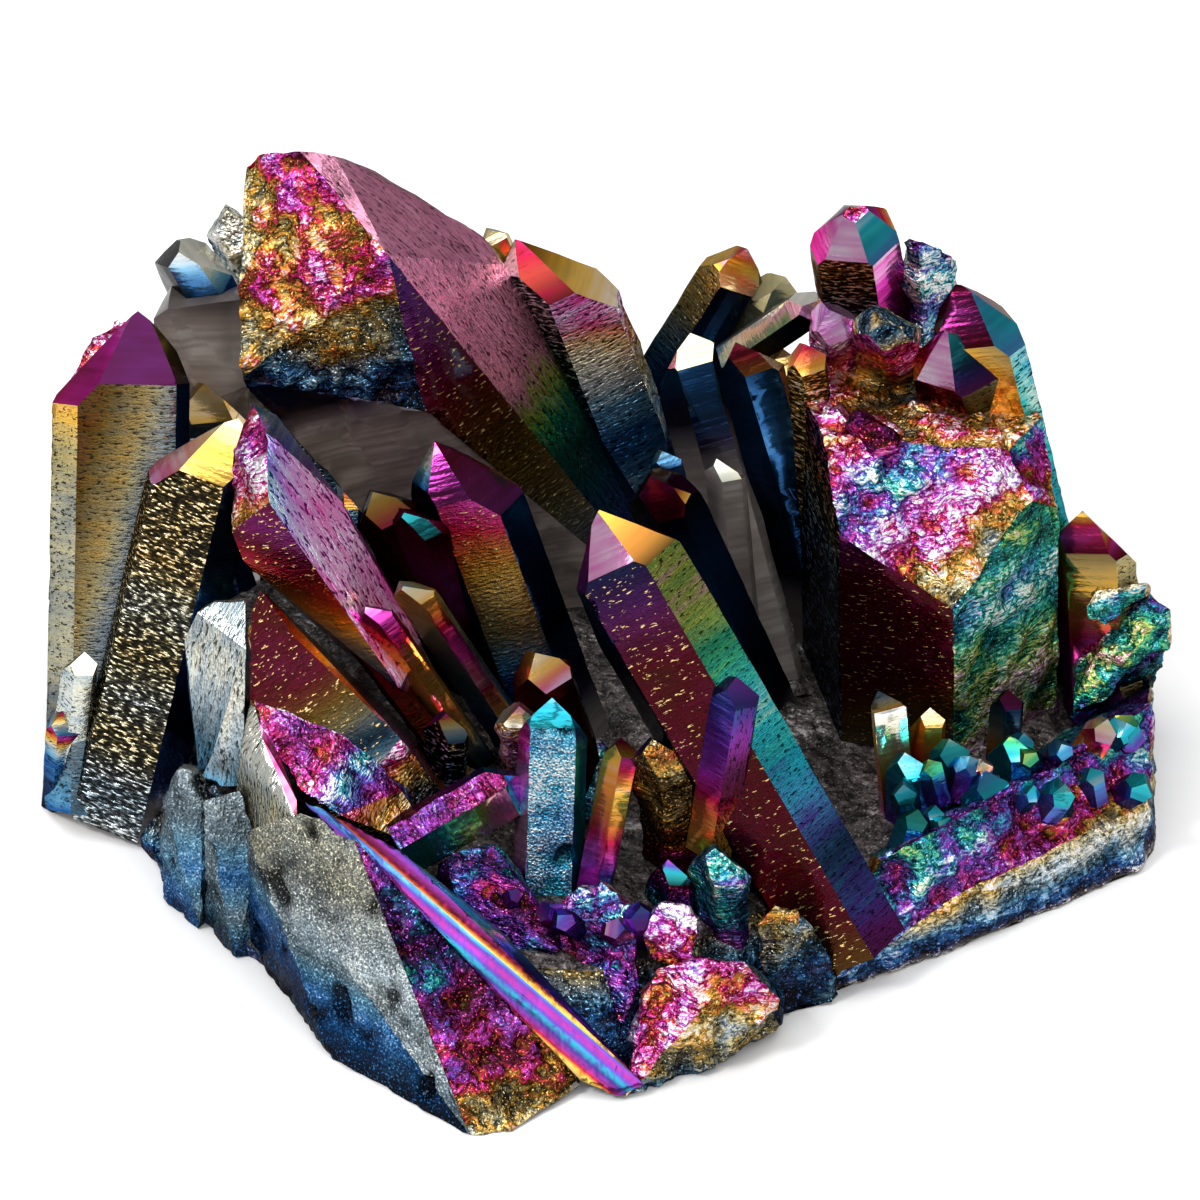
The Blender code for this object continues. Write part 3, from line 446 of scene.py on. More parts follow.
crystal("yellow_cap", (-1.1, -7.6, 6), (-4.5, -10.6, 21), (1.8, 2.1, 1.4, 1.8, 2.3, 1.6), turn=30,
        sides="plum brown maroon", cap_front="pink gold pale_gold",
        cap_front_left="pink pale_gold", caps="maroon gold")
crystal("cyan_column", (-3.8, -17.4, 2), (-3.3, -13.1, 19), (1.4, 2.2, 2.3, 1.4, 2.1, 2),
        front="grit: aqua aqua ice ice ice aqua", front_left="magenta pink pink mauve",
        front_right="deep teal azure", caps="teal aqua")
crystal("rose_prism", (-5, -7.6, 6), (-5.6, -11.4, 17), (1, 1.7, 1.7, 1.1, 1.6, 1.5),
        sides="rough: ink brass pink gold", caps="white pink")
crystal("mauve_tablet", (-13.9, -17.4, 9), (-4.8, -14, 13), (1.6, 2, 1.6, 1.7, 2.1, 2.1), turn=10,
        sides="maroon magenta indigo", front="mirror 0.4: teal green lime blush",
        front_left="rough: violet magenta", caps="teal magenta pine")
crystal("teal_chip", (-0.7, -9.9, 6), (0, -7.9, 12), (1, 1.4, 1, 1.1, 1.3, 0.7), turn=10,
        sides="rough: deep teal aqua", caps="rough: teal ice")
crystal("rainbow_strip", (-1, -18.9, 4), (1.5, -13.6, 16), (1, 1.4, 0.9, 1.1, 1.1, 0.7), turn=20,
        sides="violet magenta orange gold", front="azure teal magenta orange gold magenta",
        caps="gold magenta")
crystal("bronze_knob", (5.1, -14.3, 4), (3.6, -15.2, 17), (1.7, 2.7, 2.1, 1.8, 2, 1), turn=10,
        sides="rough: plum brown olive", cap_front="rough: brass brown gold", caps="magenta teal")
crystal("violet_blade", (7.4, -17.4, 9), (9.3, -17.6, 24), (1.4, 1.8, 1.2, 1.4, 1.5, 1), turn=20,
        sides="gold orange magenta violet indigo",
        front="cracked -0.4: gold orange maroon plum violet indigo",
        front_right="indigo violet navy", caps="indigo violet")
crystal("cyan_disc", (8, -20.8, 2), (7.9, -20.9, 12), (1.6, 2.4, 1.7, 1.7, 2.6, 0.8),
        sides="rough: plum violet teal azure", caps="rough: violet teal aqua")
crystal("small_teal", (4.7, -19.7, 2), (4.7, -19.6, 10), (1.2, 1.9, 1.3, 1.3, 2, 0.6),
        sides="rough: plum pine maroon", caps="pine teal magenta")


# ---------------------------------------------------------------- the broken front
# Where the cluster was broken from its vein: a long bar, rough lumps and fused columns, with
# fresh breaks that took the film as grain and glitter. A row of tiny points crowns the edge.

block("rose_slab", [
    (-24, -12.1, 18), (-20.8, -12.6, 16.5), (-17.7, -12.8, 15.5), (-13.6, -14.4, 12),
    (-11.8, -16.1, 8), (-23.4, -13.5, 16.5), (-20.7, -17.1, 14), (-17.9, -18.7, 13),
    (-13.2, -15.7, 9), (-17.5, -14.6, 6), (-12.8, -5.2, 6)], {
    (0.4, -0.37, 0.83): "rough: magenta violet azure rose violet magenta pink",
    (0.68, 0.36, 0.64): "rough: teal pink", (0.66, -0.54, 0.53): "rough: ink gold orange rose",
    (-0.05, -0.86, -0.51): "glitter: stone olive gold"}, upward=(-0.6, 0.1, 0.75))
block("striped_bar", [
    (-20.2, -20.6, 15.5), (-19.1, -21, 15.5), (-13.7, -22.6, 13), (-6.8, -25.1, 8),
    (3.1, -33.3, 1), (1.4, -33.8, 0.3), (-1, -33.3, 1), (-17.4, -21.9, 14.5), (-18.5, -20.8, 14),
    (-12.5, -19.2, 6), (0, -29.3, 0)], {
    (0, -0.81, 0.58): "ribbed: olive brass gold red wine violet indigo teal azure violet "
        "magenta violet azure aqua indigo",
    (0.59, 0.03, 0.8): "ribbed: brass magenta violet azure aqua",
    (0.22, -0.55, 0.8): "ribbed: olive gold maroon wine violet indigo",
    (-0.5, 0, -0.8): "rough: ink navy"}, upward=(0.63, 0.45, 0.62))
block("front_block", [
    (-18.1, -21.9, 14), (-17.1, -21.9, 14.3), (-1, -33, 0.8), (-2.7, -33.6, 0), (-6.2, -37.3, 0),
    (-8.8, -37.6, 0), (-10.2, -35.2, 2), (-10, -36.6, 0), (-18.5, -29.3, 0), (-20.8, -23.9, 0),
    (-20.8, -22.1, 3), (-24.6, -17.1, 0), (-20.5, -20.3, 14.5), (-24.5, -19.1, 12),
    (-10.4, -22.8, 0)], {
    (-0.6, -0.72, 0.2): "grit: ink navy blue slate steel ash stone",
    (-0.45, -0.73, 0.52): "grit: slate steel steel ash stone",
    (0.2, -0.6, 0.77): "feather: gold brown red wine magenta wine plum indigo deep deep "
        "indigo deep violet wine magenta",
    (-0.89, -0.45, -0.07): "grit: ink navy blue slate stone", (0, 0, -1): "bare: bare"})
block("left_lump", [
    (-29.6, -11.9, 12), (-27.6, -12.8, 12.5), (-30.6, -12.3, 9.5), (-31.1, -11, 4),
    (-30.8, -12, 0), (-28.2, -15.1, 0), (-27, -12.9, 10), (-27.2, -11.7, 2), (-29.3, -2.8, 6),
    (-26.4, -8.8, -2), (-31.2, -0.4, -3)], {
    (0, -1, 0): "grit: ink slate blue slate steel", (0, 0, 1): "grit: steel silver",
    (-1, 0, 0): "grit: navy blue slate steel"})
block("left_rib", [
    (-27.5, -15.6, 12), (-25, -15.1, 12.5), (-23.5, -16.7, 8.5), (-24, -15.9, 3.5),
    (-25.6, -18.3, 0), (-24.5, -17.7, 0), (-27.9, -14.3, 0), (-27.5, -15.7, 9.5), (-26.3, -6.2, 5),
    (-25.1, -7.5, -3)], {
    (0, -1, 0): "grit: ink navy slate blue slate steel", (0, 0, 1): "grit: silver stone",
    (-1, 0, 0): "grit: ink slate steel"})
block("steel_column", [
    (-28.1, -6.5, 21.5), (-26.8, -6.3, 22.3), (-24.6, -6.9, 22.8), (-24.5, -10, 20.8),
    (-29, -7, 19.5), (-28.7, -8.6, 15.5), (-25, -11.1, 17.3), (-27.9, -12.8, 10.8),
    (-24.9, -13.2, 11.5), (-27.5, 2.9, 16), (-25.1, 1.6, 9), (-27.6, -1.5, 5), (-29, -1.9, 15)], {
    (-0.2, -0.92, 0.33): "cracked: blue slate steel silver white silver steel",
    (-0.59, -0.71, 0.4): "cracked: navy slate silver steel", (-1, 0, 0): "dashed: ink navy steel",
    (0, 0, 1): "cracked: silver white", (1, 0, 0): "ink navy blue"})
block("brick_prism", [
    (-24.9, -14.3, 15.2), (-23.3, -14.5, 16.5), (-20.8, -18.7, 14.3), (-20.8, -20.5, 13.8),
    (-23.5, -16.8, 9), (-25.3, -13.8, 11.5), (-25, -12, 4), (-21.9, -10.8, 4), (-23.5, -3.1, 8),
    (-24.2, -10.2, 17.5), (-24.9, -3.8, 12)], {
    (-0.85, -0.53, 0.02): "cracked: slate stone stone steel",
    (0.32, -0.66, -0.68): "grit: ink slate", (-0.3, -0.5, 0.8): "cracked: silver white",
    (0.5, -0.3, 0.8): "gold pink"})
block("violet_block", [
    (-10.6, -20.5, 9.5), (-10.2, -19.7, 10.5), (-7.2, -19.1, 11), (-5.5, -21.4, 9.5),
    (-2.7, -25, 6.2), (-4.1, -24.3, 4.6), (-9, -22.8, 6), (-8.4, -12.1, 5), (-2.8, -16.1, 1),
    (-12, -13, 3)], {
    (-0.15, -0.74, 0.65): "feather: deep indigo plum violet deep violet",
    (0, 0, 1): "rough: plum violet azure", (-0.31, -0.85, 0.42): "rough: deep indigo violet",
    (1, 0, 0.3): "rough: deep indigo violet teal"})
block("violet_lump", [
    (-2.8, -22.4, 8.5), (0, -21.4, 9.5), (2.3, -23.6, 9), (2.7, -28, 5.5), (0, -27.4, 3.5),
    (-2.8, -24.2, 4.5), (-2.8, -15.7, -2), (2.8, -15.7, -2), (0, -29.2, 0.8), (0.7, -29.3, 0),
    (0, -14, 2)], {
    (-0.35, -0.7, 0.6): "feather: deep indigo azure violet indigo aqua",
    (0.7, -0.5, 0.5): "rough: deep violet pink", (0, -0.8, -0.6): "rough: ink navy"})
block("corner_block", [
    (3.7, -28.7, 7.5), (6.8, -28.3, 8.5), (9.8, -29.1, 8.4), (12.4, -28.4, 4.5), (12.5, -27, 1),
    (9.3, -28.7, 0.6), (4.1, -32.4, 0), (2.7, -31.1, 2.3), (2.7, -29.2, 6), (1.7, -33.4, 0),
    (6.8, -31, 0), (7, -18.3, 0), (12.6, -20.5, 0), (2.8, -21.5, -1)], {
    (0.38, -0.92, 0.1): "feather: slate moss khaki gold rose pink pink",
    (-0.14, -0.82, 0.55): "feather: gold rose pink pink pink", (0.2, -0.2, 1): "rough: gold pink",
    (0, -0.7, -0.7): "rough: ink olive", (1, 0, 0): "rough: ink navy brass"})
block("pink_lump", [
    (2.9, -26.6, 8.7), (4.1, -25.5, 10.6), (6.1, -25.7, 10.6), (6.7, -27.5, 9.4),
    (6.1, -28.1, 7.4), (3.4, -27.6, 7), (3.5, -18.7, 3), (6.3, -18.7, 3)], {
    (0, -1, 0): "feather: orange rose magenta pink", (0, 0, 1): "rough: magenta pink",
    (1, 0, 0): "rough: violet pink", (-1, 0, 0): "rough: deep azure mauve"})
block("dark_spikes", [
    (10.8, -24.2, 7.7), (12, -23.6, 9), (13.7, -23.7, 8.8), (16.1, -22.7, 3.5), (16.1, -22.8, 0),
    (13.2, -23.3, 0), (11.4, -24.6, 1.2), (12.5, -25, 0), (12, -14.9, 0), (15.5, -16, 0)], {
    (0.49, -0.87, 0.06): "feather: ink navy olive blue",
    (0.12, -0.98, 0.13): "feather: ink navy olive brass", (0, 0, 1): "rough: navy brass"})


# ---------------------------------------------------------------- the right shelf
# A sloping ledge along the right front. The film thins down its slope in bands, from teal
# through violet, rose and gold to bare quartz. A crowd of small points stands on its edge.

block("right_shelf", [
    (13.9, -23.1, 0), (18.9, -20, 0), (25.3, -17.1, 0), (32.7, -10.8, 0), (38.6, -7.9, 0),
    (39.8, -5.5, 0), (19.5, -18.8, 4.2), (25.2, -16.6, 4.6), (32.5, -10.7, 4.6), (39.3, -5.9, 4.5),
    (19.5, -17.2, 8), (24.4, -14.4, 9.2), (32.5, -8, 9.4), (39.4, -0.9, 9.5), (40, 7, 6),
    (18.5, -8.2, 2), (40.7, 12.8, 0)], {
    (0.45, -0.8, 0.43): "feather -0.35: brass orange magenta magenta violet azure teal green",
    (0.5, -0.85, 0.1): "rough: bare navy blue slate stone brass gold",
    (0.59, -0.77, 0.25): "rough: bare blue slate silver gold",
    (-0.44, 0.44, 0.78): "rough: pine teal violet",
    (0.59, -0.58, 0.57): "feather: orange magenta azure teal",
    (1, 0, 0.08): "rough: bare slate gold teal", (-0.87, 0.21, 0.45): "rough: ash olive brass",
    (0, 1, 0): "bare: bare"})
crystal("gold_tip", (20.6, -7.4, 5), (19.6, -5.3, 14), (1, 1.9, 2, 1.1, 0.6, 1.3), turn=25,
        sides="magenta pink gold white", front="rose orange cream white", front_left="pink cream",
        caps="brown ink")
crystal("small_gold_tip", (23.1, -6.2, 5), (23.4, -4.5, 12), (1, 1.2, 0.8, 1, 1.5, 0.9), turn=5,
        sides="magenta gold", caps="gold pale_gold")
crystal("small_dark_tip", (28.5, -5.1, 5), (28.9, -3.7, 13), (1, 1.2, 0.8, 1, 1.2, 0.9), turn=15,
        sides="teal night", caps="plum maroon")
crystal("teal_tip_1", (24.5, -7.3, 4), (24.6, -7.7, 11.5), (1.2, 1.5, 1.1, 1.2, 1.4, 1.2), turn=25,
        sides="violet azure teal", caps="teal sea")
crystal("teal_tip_2", (29.2, -7.3, 4), (28.9, -7.3, 11.5), (1.2, 1.7, 1, 1.3, 2, 0.7), turn=5,
        sides="azure teal", caps="aqua lime")
crystal("teal_tip_3", (21.6, -9.5, 3), (21.4, -9.3, 11.5), (1.2, 1.8, 1.3, 1.3, 1.4, 0.8), turn=15,
        sides="magenta azure teal", caps="sea aqua")
crystal("teal_tip_4", (27.3, -9.5, 3), (27, -10.1, 10.5), (1.4, 1.7, 1.1, 1.4, 1.7, 1.3), turn=30,
        sides="violet teal", caps="teal azure")

PLAIN_SIDES = (1, 1.05, 0.9, 1, 1.1, 0.95)  # the sides of a plain crystal, as shares of its width
DRUSE_WIDTH = 1.5                           # width of the small points, before they vary
DRUSE_HEIGHT = 2.6                          # how far the tallest of them stand up
DRUSE_STRAY = 0.5                           # how far each strays from its row, and how it leans
DRUSE_SINK = 1.5                            # how deep each starts inside its ledge
DRUSE_GIRTHS = (0.45, 0.75)                 # thinnest and thickest point, as shares of the width
DRUSE_REACHES = (0.5, 1.0)                  # lowest and tallest point, as shares of the height


def plain_crystal(name, foot, tip, width, turn, coat):
    """A crystal whose six sides are nearly equal."""
    crystal(name, foot, tip, [width * share for share in PLAIN_SIDES], turn, **coat)


def druse_row(name, start, end, count, seed, coats, width=DRUSE_WIDTH, height=DRUSE_HEIGHT,
              lean_back=-0.4):
    """A row of small points that crowd a ledge, each leaning its own way."""
    chance = random.Random(seed)
    start, end = Vector(start), Vector(end)

    def stray():
        return chance.uniform(-DRUSE_STRAY, DRUSE_STRAY)

    for number in range(count):
        foot = start.lerp(end, (number + 0.5) / count)
        foot += Vector((stray(), stray(), -DRUSE_SINK))
        lean = Vector((stray(), lean_back + stray(), 1)).normalized()
        own_width = width * chance.uniform(*DRUSE_GIRTHS)
        tip = foot + lean * (DRUSE_SINK + height * chance.uniform(*DRUSE_REACHES))
        sides, caps = coats[number % len(coats)]
        plain_crystal(f"{name}_{number}", foot, tip, own_width, chance.uniform(0, SIDE_TURN),
                      {"sides": sides, "caps": caps})


druse_row("shelf_upper", (21, -11, 9), (38.5, -3, 9.5), 10, seed=3, coats=[
    ("azure teal", "teal aqua"), ("violet teal", "green lime"),
    ("magenta azure", "azure aqua"), ("gold rose", "pink white")])
druse_row("shelf_lower", (20, -14.5, 7.5), (38, -6, 7.5), 9, seed=5, coats=[
    ("azure teal", "teal green"), ("indigo azure", "aqua teal"), ("violet azure", "teal sea")])
druse_row("front_druse", (-6, -22, 8), (6, -25, 8), 6, seed=8, coats=[
    ("indigo violet", "violet azure"), ("violet magenta", "pink azure")])


# ---------------------------------------------------------------- the back
# Plain crystals fan out at the back, with stout points crowded along the rim between them.
# They faced away from the vapour, so their film is thinner and more even.

BACK_COATS = [
    {"sides": "dashed: haze navy blue steel gold", "caps": "gold rose"},
    {"sides": "dashed: haze blue steel gold orange", "caps": "rose violet"},
    {"sides": "dashed: bare haze navy steel silver", "caps": "cream gold"},
    {"sides": "dashed: navy steel gold magenta violet", "caps": "azure teal"},
]
back_row = [
    ((-28, 20, 2), (-33, 30, 19), 2.6, 10), ((-22, 24, 2), (-24, 36, 22), 3, 25),
    ((-14, 26, 2), (-14, 37, 23), 3.4, 5), ((-5, 28, 2), (-4, 36.5, 18), 2.8, 35),
    ((3, 29, 1), (4, 36, 12), 2.6, 15), ((10, 30, 1), (12, 36.5, 17), 2.6, 0),
    ((19, 28, 1), (21, 35, 19), 3, 20), ((26, 22, 1), (28, 30, 14), 2.6, 40),
    ((33, 14, 0), (35.5, 19, 10), 2.4, 10), ((-34, 18, 0), (-38, 24, 9), 2.2, 20),
    ((14, 25, 4), (13.5, 26, 22.5), 3, 15)]
for number, (foot, tip, width, turn) in enumerate(back_row):
    own_coat = BACK_COATS[number % len(BACK_COATS)]
    plain_crystal(f"back_{number + 1}", foot, tip, width, turn, own_coat)

rim_corners = [(37, 15, 3), (30, 25, 4), (13, 31, 4), (-8, 32.5, 4), (-25, 27, 4), (-36, 17, 3)]
for number, (start, end) in enumerate(zip(rim_corners, rim_corners[1:])):
    druse_row(f"back_ledge_{number}", start, end, count=5, seed=40 + number, width=3.2,
              height=5.5, lean_back=1.0, coats=[
                  ("dashed: haze navy steel", "gold rose"),
                  ("dashed: bare steel gold", "rose violet"),
                  ("dashed: navy blue silver", "silver gold")])


# ---------------------------------------------------------------- the shared foot
# The mass of quartz that the crystals grew from, sawn off flat where it met the rock. Its
# flanks are rough. The sawn face is bare quartz, and the cluster rests on it.

SLAB_HEIGHT = 5.5
SLAB_EDGE = 1                               # height of the upright edge, before its sides slope in
SLAB_TAPER = 0.84                           # size of the slab's top as a share of its rim
SLAB_RIM = [(-38, 6), (-36.5, 1.8), (-31.5, -6.5), (-30, -11.5), (-25, -17.5), (-20, -23),
            (-16, -26), (-8, -31), (0, -31.5), (5, -29), (11, -25), (22, -17.5), (38.2, -7.9),
            (39.6, -5.5), (38, 12), (30, 26), (12, 33), (-8, 34), (-25, 28), (-36, 18)]

slab_corners = [(x, y, z) for z in (-SLAB_EDGE, SLAB_EDGE) for x, y in SLAB_RIM]
slab_corners += [(x * SLAB_TAPER, y * SLAB_TAPER, SLAB_HEIGHT) for x, y in SLAB_RIM]
slab = block("slab", slab_corners, {
    (0, -1, 0.3): "rough: ink ink navy olive", (0, 0, 1): "crust: smoke",
    (-1, 0, 0.3): "rough: bare ash blue", (1, 0, 0.3): "rough: bare ink gold",
    (0, 1, 0.3): "rough: bare smoke slate", (0, 0, -1): "bare: bare"})
grown.objects.unlink(slab)
bpy.context.scene.collection.objects.link(slab)

GROUND_DEPTH = 12                           # how far below the cut the sawn-off block reaches
ground = bmesh.new()
bmesh.ops.create_cube(ground, size=2 * BUILD_ROOM)
bmesh.ops.scale(ground, vec=(1, 1, GROUND_DEPTH / (2 * BUILD_ROOM)), verts=ground.verts)
bmesh.ops.translate(ground, vec=(0, 0, -GROUND_DEPTH / 2), verts=ground.verts)
ground_layer = ground.faces.layers.int.new("facet")
for face in ground.faces:
    face[ground_layer] = -1                 # given its own number below
sawn_off = keep_as_piece(ground, "sawn_off")
grown.objects.unlink(sawn_off)
bpy.context.scene.collection.objects.link(sawn_off)

join = slab.modifiers.new("join", "BOOLEAN")
join.operation = "UNION"
join.operand_type = "COLLECTION"
join.collection = grown
trim = slab.modifiers.new("trim", "BOOLEAN")
trim.operation = "DIFFERENCE"
trim.object = sawn_off
joined = slab.evaluated_get(bpy.context.evaluated_depsgraph_get())
cluster_mesh = bpy.data.meshes.new_from_object(joined)
for piece in list(grown.objects) + [slab, sawn_off]:
    bpy.data.objects.remove(piece, do_unlink=True)
bpy.data.collections.remove(grown)


# ---------------------------------------------------------------- the grown surface
# The joined solid is made finer, then worn, broken or grained as each face grew: rough faces
# stand in small plates, grains stand up, and sharp edges are chipped. The sawn foot is flat.

SPLIT_ROUNDS = 10
EVEN_FROM = 3                               # the round of splitting that first evens out the mesh
SPLIT_PAST = 1.35                           # an edge is split when it is this much too long
LOOKS_BACK = 0.25                           # a face looks back when its normal's y is past this
BACK_COARSER = 1.6                          # how much wider the mesh of faces at the back is
FOOT_EDGE = 5.0                             # mesh edge on the sawn face
LOOKS_DOWN = -0.99                          # the sawn face's normal has a z below this
ON_THE_CUT = 0.01                           # and the face lies lower than this

SAWN = len(facets)                          # number of the sawn face
facets.append({"skin": "bare", "tints": [TINTS_WITH_PAINTED_LIGHT["bare"]], "normal": Vector((0, 0, -1)),
               "across": Vector((1, 0, 0)), "up": Vector((0, 1, 0)), "way": Vector((0, 1, 0)),
               "centre": None, "low": -40, "high": 40})

refined = bmesh.new()
refined.from_mesh(cluster_mesh)
facet_layer = refined.faces.layers.int["facet"]
for face in refined.faces:
    if face.normal.z < LOOKS_DOWN and face.calc_center_median().z < ON_THE_CUT:
        face[facet_layer] = SAWN

mesh_edge = []                              # wanted edge length for each facet
for facet in facets:
    edge = SKINS[facet["skin"]][2]
    if facet["normal"].y > LOOKS_BACK:
        edge *= BACK_COARSER
    mesh_edge.append(edge)
mesh_edge[SAWN] = FOOT_EDGE

bmesh.ops.triangulate(refined, faces=refined.faces, ngon_method="BEAUTY")
for split in range(SPLIT_ROUNDS):
    long_edges = []
    for edge in refined.edges:
        limit = min(mesh_edge[face[facet_layer]] for face in edge.link_faces)
        if edge.calc_length() > limit * SPLIT_PAST:
            long_edges.append(edge)
    if not long_edges:
        break
    bmesh.ops.subdivide_edges(refined, edges=long_edges, cuts=1, use_grid_fill=False)
    wide_faces = [face for face in refined.faces if len(face.verts) > 3]
    bmesh.ops.triangulate(refined, faces=wide_faces, ngon_method="BEAUTY")
    if split >= EVEN_FROM:
        inner = [edge for edge in refined.edges if len(edge.link_faces) == 2
                 and edge.link_faces[0][facet_layer] == edge.link_faces[1][facet_layer]]
        bmesh.ops.beautify_fill(refined, faces=refined.faces, edges=inner, method="ANGLE")

PLATE_TILT = 0.9                            # how steeply plates tilt
PLATE_STEP = 0.5                            # how much higher or lower than the next one they stand
TILT_SEED, STEP_SEED = 5.3, 3.1             # any two, so that tilts and steps are not alike
PLATE = 0.8                                 # width of the small plates of a rough face
GLITTER_PLATE = 1.1                         # width of the flakes of a glittering face
HEWN_PLATE = 4.5                            # width of the flat chips of a hewn face
CRUST_PLATE = 2.2                           # width of the blunt crystals that crust the floor
PIT_FROM = 0.3                              # a gritty face is pitted where its noise is past this
PIT_DEPTH = 9                               # how steeply a pit sinks past that
noise.seed_set(4)                           # or the warped relief changes from run to run


def swells(place, fineness):
    """Smooth bumps from -1 to 1. They get smaller as fineness grows."""
    return noise.noise(place * fineness)


def plates(place, width):
    """A height round 0.5 that tilts over each small plate and breaks between them."""
    middle = noise.voronoi(place / width)[1][0]
    tilt = noise.noise_vector(middle * TILT_SEED)
    slope = PLATE_TILT * tilt.dot(place / width - middle)
    return 0.5 + slope + PLATE_STEP * swells(middle, STEP_SEED)


def relief_at(place, skin):
    """How far a face of one skin stands out or in at a place, as a share of its depth. Each
    sum ends with what brings its middle near the flat face, or below it where stone is lost."""
    if skin == "rough":
        return 1.1 * swells(place, 0.45) + 0.5 * plates(place, PLATE) - 0.35
    if skin == "feather":
        warp = place + noise.noise_vector(place * 0.35) * 2.0
        folds = 1.2 * swells(warp, 0.38) + 0.9 * abs(swells(warp, 1.1))
        return folds + 0.3 * plates(place, PLATE) - 0.6
    if skin == "grit":
        pit = max(0, swells(place, 0.42) - PIT_FROM)
        return 0.8 * swells(place, 2.0) + 1.2 * swells(place, 0.5) - 0.3 - PIT_DEPTH * pit
    if skin == "glitter":
        return plates(place, GLITTER_PLATE) - 0.5
    if skin == "hewn":
        return plates(place, HEWN_PLATE) - 0.8
    if skin == "crust":
        return plates(place, CRUST_PLATE) + 0.8 * swells(place, 0.3) - 0.6
    return swells(place, 0.6)


FOOT_ZONE = 0.8                             # height above the cut where relief fades in
FOOT_LINE = 0.001                           # lower than this, a corner is on the rim of the cut
RIM_WEAR = 1.5                              # how much deeper the rim of the cut is worn
SHARP = 0.05                                # a corner is sharp when its faces turn this much away
RIDGE = 0.4                                 # radians between the faces of a ridge or a crack
EDGE_WEAR = 0.16                            # how far a sharp edge is worn back
CRACK_FILL = 0.3                            # a crack is filled by this share of that
FLAT_TURN = math.radians(8)                 # faces that meet flatter than this look as one

lowest, highest = cad_box[0] / MM, cad_box[1] / MM
moved = []
standing = []                               # the relief at each corner, as a share of its depth
for vert in refined.verts:
    place = vert.co
    push = Vector()
    relief = 0.0
    known = {}
    for face in vert.link_faces:
        skin = facets[face[facet_layer]]["skin"]
        depth = SKINS[skin][1]
        push += face.normal
        if skin not in known:
            known[skin] = relief_at(place, skin)
        relief += known[skin] * depth
    push.normalize()
    relief /= len(vert.link_faces)
    standing.append(max(known.values(), key=abs))
    corner = max(1 - face.normal.dot(push) for face in vert.link_faces)
    if corner > SHARP:
        ridges = [edge for edge in vert.link_edges if edge.calc_face_angle(0) > RIDGE]
        outward = all(edge.is_convex for edge in ridges)
        sharpness = min(1, corner * 3)
        chipping = 0.3 + 1.4 * abs(swells(place, 1.3))
        wear = EDGE_WEAR * sharpness * chipping
        relief += -wear if outward else wear * CRACK_FILL
    if place.z < FOOT_ZONE:
        share = max(0, place.z / FOOT_ZONE)
        push = Vector((push.x, push.y, push.z * share))
        if all(face[facet_layer] == SAWN for face in vert.link_faces):
            relief = 0
        elif place.z < FOOT_LINE:
            relief = min(relief, 0) * RIM_WEAR
            push.z = 0
    moved.append((vert, place + push * relief))
for vert, place in moved:
    vert.co = Vector([min(max(place[k], lowest[k]), highest[k]) for k in range(3)])

for edge in refined.edges:
    one_facet = len({face[facet_layer] for face in edge.link_faces}) == 1
    edge.smooth = one_facet or edge.calc_face_angle(0) < FLAT_TURN
for face in refined.faces:
    face.smooth = True

cluster_mesh = bpy.data.meshes.new("quartz_cluster_surface")
refined.to_mesh(cluster_mesh)
refined.free()


# ---------------------------------------------------------------- the film, painted on
# How thick the metal film is at each corner of the mesh, how light it is painted there (painted
# light and shade), and how the face under it grew: along which way, and with which marks.

STOPS = 37                                  # steps that a face's tints are read off in
LEAST_RISE = 0.1                            # so that a face with no height keeps its first tint
GRAIN_SHIFT = 50                            # sets the marks of each face apart from the next

count = len(facets)
film_table = np.zeros((count, STOPS))
painted_light_table = np.zeros((count, STOPS))
across, upward, way = (np.array([facet[key][:] for facet in facets])
                       for key in ("across", "up", "way"))
low, high = (np.array([facet[key] for facet in facets]) for key in ("low", "high"))
centre = np.array([(facet["centre"] or Vector())[:] for facet in facets])
ringed = np.array([facet["centre"] is not None for facet in facets])
cracked = np.array([facet["skin"] == "cracked" for facet in facets])
marks = np.zeros((count, len(MARKS)))
for number, facet in enumerate(facets):
    tints = facet["tints"] if len(facet["tints"]) > 1 else facet["tints"] * 2
    steps = np.linspace(0, len(tints) - 1, STOPS)
    film_table[number] = np.interp(steps, range(len(tints)), [film for film, _ in tints])
    painted_light_table[number] = np.interp(steps, range(len(tints)), [painted_light for _, painted_light in tints])
    for mark in SKINS[facet["skin"]][0].split():
        marks[number, MARKS.index(mark)] = 1

corner_count = len(cluster_mesh.loops)
face_count = len(cluster_mesh.polygons)
places = np.zeros(len(cluster_mesh.vertices) * 3)
cluster_mesh.vertices.foreach_get("co", places)
places = places.reshape(-1, 3)
corner_vert = np.zeros(corner_count, dtype=int)
cluster_mesh.loops.foreach_get("vertex_index", corner_vert)
face_facet = np.zeros(face_count, dtype=int)
cluster_mesh.attributes["facet"].data.foreach_get("value", face_facet)
face_size = np.zeros(face_count, dtype=int)
cluster_mesh.polygons.foreach_get("loop_total", face_size)
corner_facet = np.repeat(face_facet, face_size)
at = places[corner_vert]

